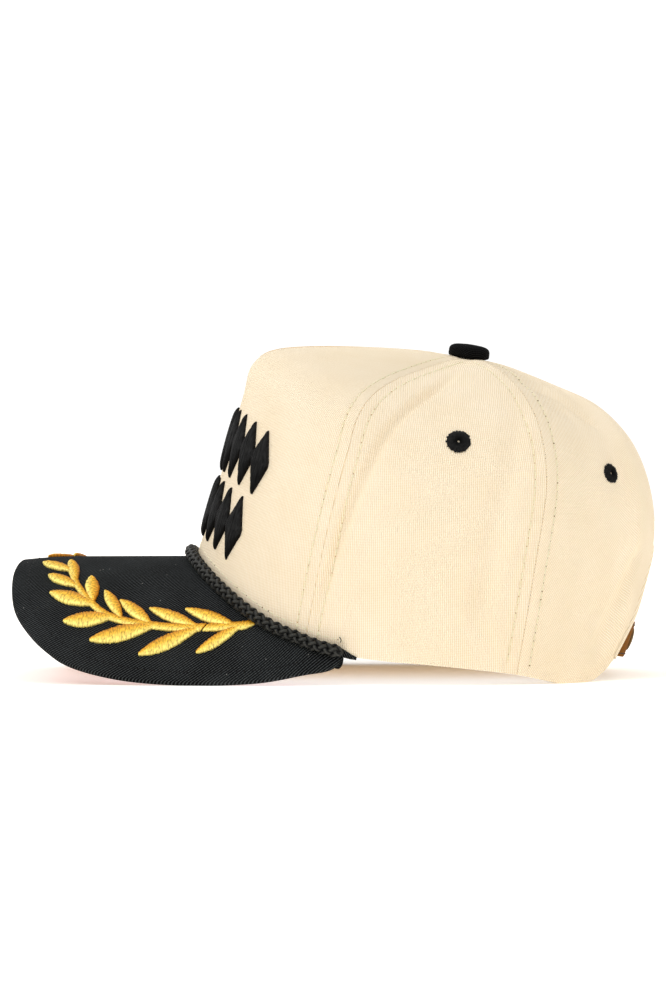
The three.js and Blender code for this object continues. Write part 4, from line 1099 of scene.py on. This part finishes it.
# Leather straps
# Two tongues of smooth brown leather, 1.6 thick, sewn in behind the back panels. The left one
# passes outside the right one. Edges are rounded and a row of dark stitches runs inside them.
STRAP_HEIGHT = 15.6
STRAP_MIDDLE = 15.1  # height of its middle at the back
STRAP_RISE = 2.4  # how much higher it is at its root
LEATHER = 1.6  # its thickness
STRAP_ROOT = 146  # azimuth where it starts, inside the back panel
STRAP_OVERLAP = 10  # degrees beyond the middle of the back
STRAP_ROUNDING = 0.14  # share of the strap's length that its round end takes
INNER_STRAP_START, INNER_STRAP_END = 154, 166  # the inner strap turns in behind the outer one
STRAP_STITCH_PITCH = 0.035  # in lengths of the strap
STRAP_STITCH_PLACE = 0.8  # of half the strap's height
STRAP_THREAD_SHARES = np.array([0.003, 0.008, 0.014, 0.02, 0.025])  # of the strap's length
STRAP_THREAD_DEPTHS = np.array([0.3, -0.05, -0.12, -0.05, 0.3])  # into the leather
# Tanned cowhide, smooth and worn dull: an even brown with slow darker patches
BROWN_LEATHER = plain_material("brown_leather", "784a12",
                               {"Roughness": 0.7, "Specular IOR Level": 0.02}, 0.22, 0.8, 0.18)
# Waxed linen thread, darker than the leather that it sinks into
DARK_THREAD = plain_material("dark_brown_thread", "2b1a0e", {"Roughness": 0.6})


def level_at(azimuth, height):
    """Level at which the crown has this height."""
    return level_up_to(lambda level: smooth_crown(azimuth, level)[..., 2] < height, height)


def strap_place(u, share, depth_share, outside_strap):
    """A place on a strap: along it, from its lower to its upper edge, and through the leather."""
    azimuth = STRAP_ROOT + (180 + STRAP_OVERLAP - STRAP_ROOT) * u
    lift = STRAP_RISE * (1 - smoothstep(azimuth, STRAP_ROOT, 180))
    into_end = np.maximum((u - 1) / STRAP_ROUNDING + 1, 0)
    rounding = np.sqrt(1 - 0.88 * into_end ** 2)
    height = STRAP_MIDDLE + lift + share * STRAP_HEIGHT / 2 * rounding
    tucked = 0 if outside_strap else smoothstep(azimuth, INNER_STRAP_START, INNER_STRAP_END)
    depth = WALL + GAP + tucked * (LEATHER + GAP) + depth_share * LEATHER
    level = level_at(azimuth, height)
    return smooth_crown(azimuth, level) - crown_normal(azimuth, level) * depth[..., None]


for label, side in SIDES:
    end = STRAP_ROUNDING * np.sin(np.linspace(0, np.pi / 2, 30)[1:])
    u = np.r_[np.linspace(0, 1 - STRAP_ROUNDING, 90), 1 - STRAP_ROUNDING + end]
    share = np.sin(np.linspace(-1, 1, 25) * np.pi / 2)
    u_grid, share_grid = np.meshgrid(u, share, indexing="ij")
    # The two faces come together at the strap's edges
    rounded = 0.5 - 0.5 * np.sqrt(np.sqrt(np.maximum(1 - share_grid ** 8, 0)))
    outer = strap_place(u_grid, share_grid, rounded, side > 0)
    inner = strap_place(u_grid, share_grid, 1 - rounded, side > 0)
    for grid in (outer, inner):
        grid[..., 0] *= side
    add_piece(f"leather_strap_{label}", [wall(outer, inner, laid_out(outer))], BROWN_LEATHER,
              "brown_leather", f"strap_{label}")
    first = np.arange(0.05, 0.84, STRAP_STITCH_PITCH)[:, None]
    rows = []
    for edge in (-STRAP_STITCH_PLACE, STRAP_STITCH_PLACE):
        path = strap_place(first + STRAP_THREAD_SHARES, edge, STRAP_THREAD_DEPTHS / LEATHER,
                           side > 0)
        path[..., 0] *= side
        ups = unit(path - np.array([0, 60, 20]))
        rows.append(strands(path, ups, 0.24, 0.2))
    add_piece(f"strap_stitches_{label}", rows, DARK_THREAD, "brown_leather")

# Strap stud
# A plain rivet in dull dark brass, turned on a lathe and pressed shut. Its shank goes through both
# straps, and a flat cap holds it on the inside.
STUD_SHANK, STUD_HEAD, STUD_CAP = 1.6, 5.2, 4.2  # radii
# Brass tarnished brown: a metal with soft reflections
BRASS = plain_material("dull_brass", "6d5736", {"Roughness": 0.38, "Metallic": 1.0},
                       0.15, 0.6, 0.02)
place, axes = seat(180, level_at(180, STRAP_MIDDLE))
inside = -(2 * LEATHER + GAP)
profile = np.array([
    [0.2, inside - 1.6], [STUD_CAP - 0.2, inside - 1.6], [STUD_CAP, inside - 1.4],
    [STUD_CAP, inside - 0.6], [STUD_SHANK, inside - 0.6], [STUD_SHANK, GAP],
    [STUD_HEAD - 0.1, GAP], [STUD_HEAD, 0.5], [STUD_HEAD, 0.8], [STUD_HEAD - 0.25, 1.15],
    [4.2, 1.4], [4, 1.38], [3.6, 1.5], [2, 1.8], [0.2, 1.9],
])
profile[:, 1] -= WALL + GAP
local = turned(profile[:, :1], profile[:, 1:], np.linspace(0, 2 * np.pi, 49)[:-1])
add_piece("brass_stud", [tube(place + local @ axes, 0 * local[..., :2])], BRASS, "dark_brass",
          "strap_stud")

# Sweatband
# A folded strip of white cotton, sewn round the inside of the rim along its lower edge and a
# little puckered by its stitches.
BAND_THICKNESS = 1.1
BAND_GAP = 0.6  # between it and the panels, or the straps where it lies behind them
BAND_END = 153  # azimuth where it ends, behind the straps
BAND_COLUMNS = 340
BAND_LOW, BAND_HIGH = -0.02, 1.5  # levels of its edges: the lower one just shows under the rim
BAND_ROLL = 0.5  # how far its faces come together at the edges
BAND_PUCKER = 0.09  # how far its inner face goes in and out
# Plain bleached cotton: matt and nearly even
WHITE_COTTON = cotton_twill("white_cotton", "f3efe6", "e2dccf", 0.7, 1.0, 0.06, 0.4)
azimuth = np.linspace(-BAND_END, BAND_END, BAND_COLUMNS)[:, None]
rise = np.r_[0, 0.01, 0.03, 0.06, np.linspace(0.1, 0.97, 26), 0.99, 1]
level = BAND_LOW + (BAND_HIGH - BAND_LOW) * rise
behind = smoothstep(np.abs(azimuth), STRAP_ROOT - 12, STRAP_ROOT - 2)
roll = BAND_ROLL * np.exp(-np.minimum(level - BAND_LOW, BAND_HIGH - level) / 0.03)
pucker = np.sin(azimuth * 3.1 + 2 * np.sin(azimuth * 0.7)) * np.exp(-level / 0.25)
depth = WALL + BAND_GAP + behind * (LEATHER + GAP)
outer = crown(azimuth, level, -depth - roll)
inner = crown(azimuth, level, -depth - BAND_THICKNESS + roll + BAND_PUCKER * pucker)
for grid in (outer, inner):
    grid[..., 2] = np.maximum(grid[..., 2], 0.05)
add_piece("cotton_sweatband", [wall(outer, inner, laid_out(outer))], WHITE_COTTON, "white_cotton",
          "sweatband")

# Studio
# A white paper floor that glows by itself as painted light, dim and tinted warm under the cap as a
# painted shadow with painted bounce light, dimmer light in the room on the side of the camera,
# and one broad soft lamp high on the brim's side of it.
GLOW_FAR, GLOW_NEAR = 0.03, 0.66  # painted light of the paper under the cap, dim far back as painted shadow, at these places
FAR_X, NEAR_X = -0.08, 0.045  # metres
GLOW_BESIDE = 0.39  # and round the cap, outside the painted shadow
SHADE_NEAR, SHADE_FAR = 0.09, 0.15  # metres from the middle, between which the painted shadow gives way to the paper round the cap
SHADE_MIDDLE = (-0.02, 0, 0)
PAPER_GRAIN = 1 / 300  # metres
BACKGROUND_LIGHT, CAMERA_SIDE_LIGHT = 1.09, 0.5
BRIGHT_SIDE = (-0.5, 0, 0.85)  # direction in which the room is brightest
LAMP_POWER = 0.9
LAMP_SPREAD = 35  # degrees
LAMP_TURN = (0, 45, -42)  # degrees about x, y and z
floor_mesh = bpy.data.meshes.new("floor")
floor_mesh.from_pydata([(-9, -9, 0), (9, -9, 0), (9, 9, 0), (-9, 9, 0)], [], [(0, 1, 2, 3)])
floor = bpy.data.objects.new("floor", floor_mesh)
# Uncoated paper: white, matt and very slightly rough. It glows by itself as painted light: dim
# under the cap as a painted shadow, warm there as painted bounce light, and brighter round it
paper, tree = new_material("white_paper")
place = add_node(tree, "TexCoord").outputs["Object"]
from_middle = add_node(tree, "VectorMath", {"operation": "DISTANCE"}, {0: place, 1: SHADE_MIDDLE})
beside = add_node(tree, "MapRange", {"interpolation_type": "SMOOTHSTEP"},
                  {"Value": from_middle, 1: SHADE_NEAR, 2: SHADE_FAR})
parts = add_node(tree, "SeparateXYZ", {}, {0: place})
nearer = add_node(tree, "MapRange", {}, {"Value": parts.outputs["X"], 1: FAR_X, 2: NEAR_X})
under = add_node(tree, "MapRange", {}, {"Value": nearer, 3: GLOW_FAR, 4: GLOW_NEAR})
painted_glow = add_node(tree, "MapRange", {}, {"Value": beside, 3: under, 4: GLOW_BESIDE})
painted_bounce_tint = add_node(tree, "Mix", {"data_type": "RGBA"},
                  {0: nearer, 6: to_linear("ffc459"), 7: to_linear("ffffff")})
painted_bounce_tint = add_node(tree, "Mix", {"data_type": "RGBA"},
                  {0: beside, 6: painted_bounce_tint, 7: to_linear("fff0d8")})
grain = add_node(tree, "TexNoise", {}, {"Scale": 1 / PAPER_GRAIN})
finish_material(tree, to_linear("fbfbfb"), grain, 0.02,
                {"Roughness": 0.9, "Emission Color": painted_bounce_tint, "Emission Strength": painted_glow})
floor_mesh.materials.append(paper)
bpy.context.scene.collection.objects.link(floor)

world = bpy.data.worlds.new("white_room")
world.use_nodes = True
room = world.node_tree
room.nodes.clear()
direction = add_node(room, "TexCoord").outputs["Generated"]
away = add_node(room, "VectorMath", {"operation": "DOT_PRODUCT"},
                {0: direction, 1: BRIGHT_SIDE})
strength = add_node(room, "MapRange", {"interpolation_type": "SMOOTHSTEP"},
                    {"Value": away, 1: -0.4, 2: 0.5, 3: CAMERA_SIDE_LIGHT, 4: BACKGROUND_LIGHT})
background = add_node(room, "Background", {}, {"Color": (1, 1, 1, 1), "Strength": strength})
add_node(room, "OutputWorld", {}, {"Surface": background})
bpy.context.scene.world = world
bpy.context.scene.view_settings.view_transform = "Standard"

lamp_data = bpy.data.lights.new("lamp", "SUN")
lamp_data.energy = LAMP_POWER
lamp_data.angle = np.radians(LAMP_SPREAD)
lamp = bpy.data.objects.new("lamp", lamp_data)
lamp.rotation_euler = np.radians(LAMP_TURN)
bpy.context.scene.collection.objects.link(lamp)
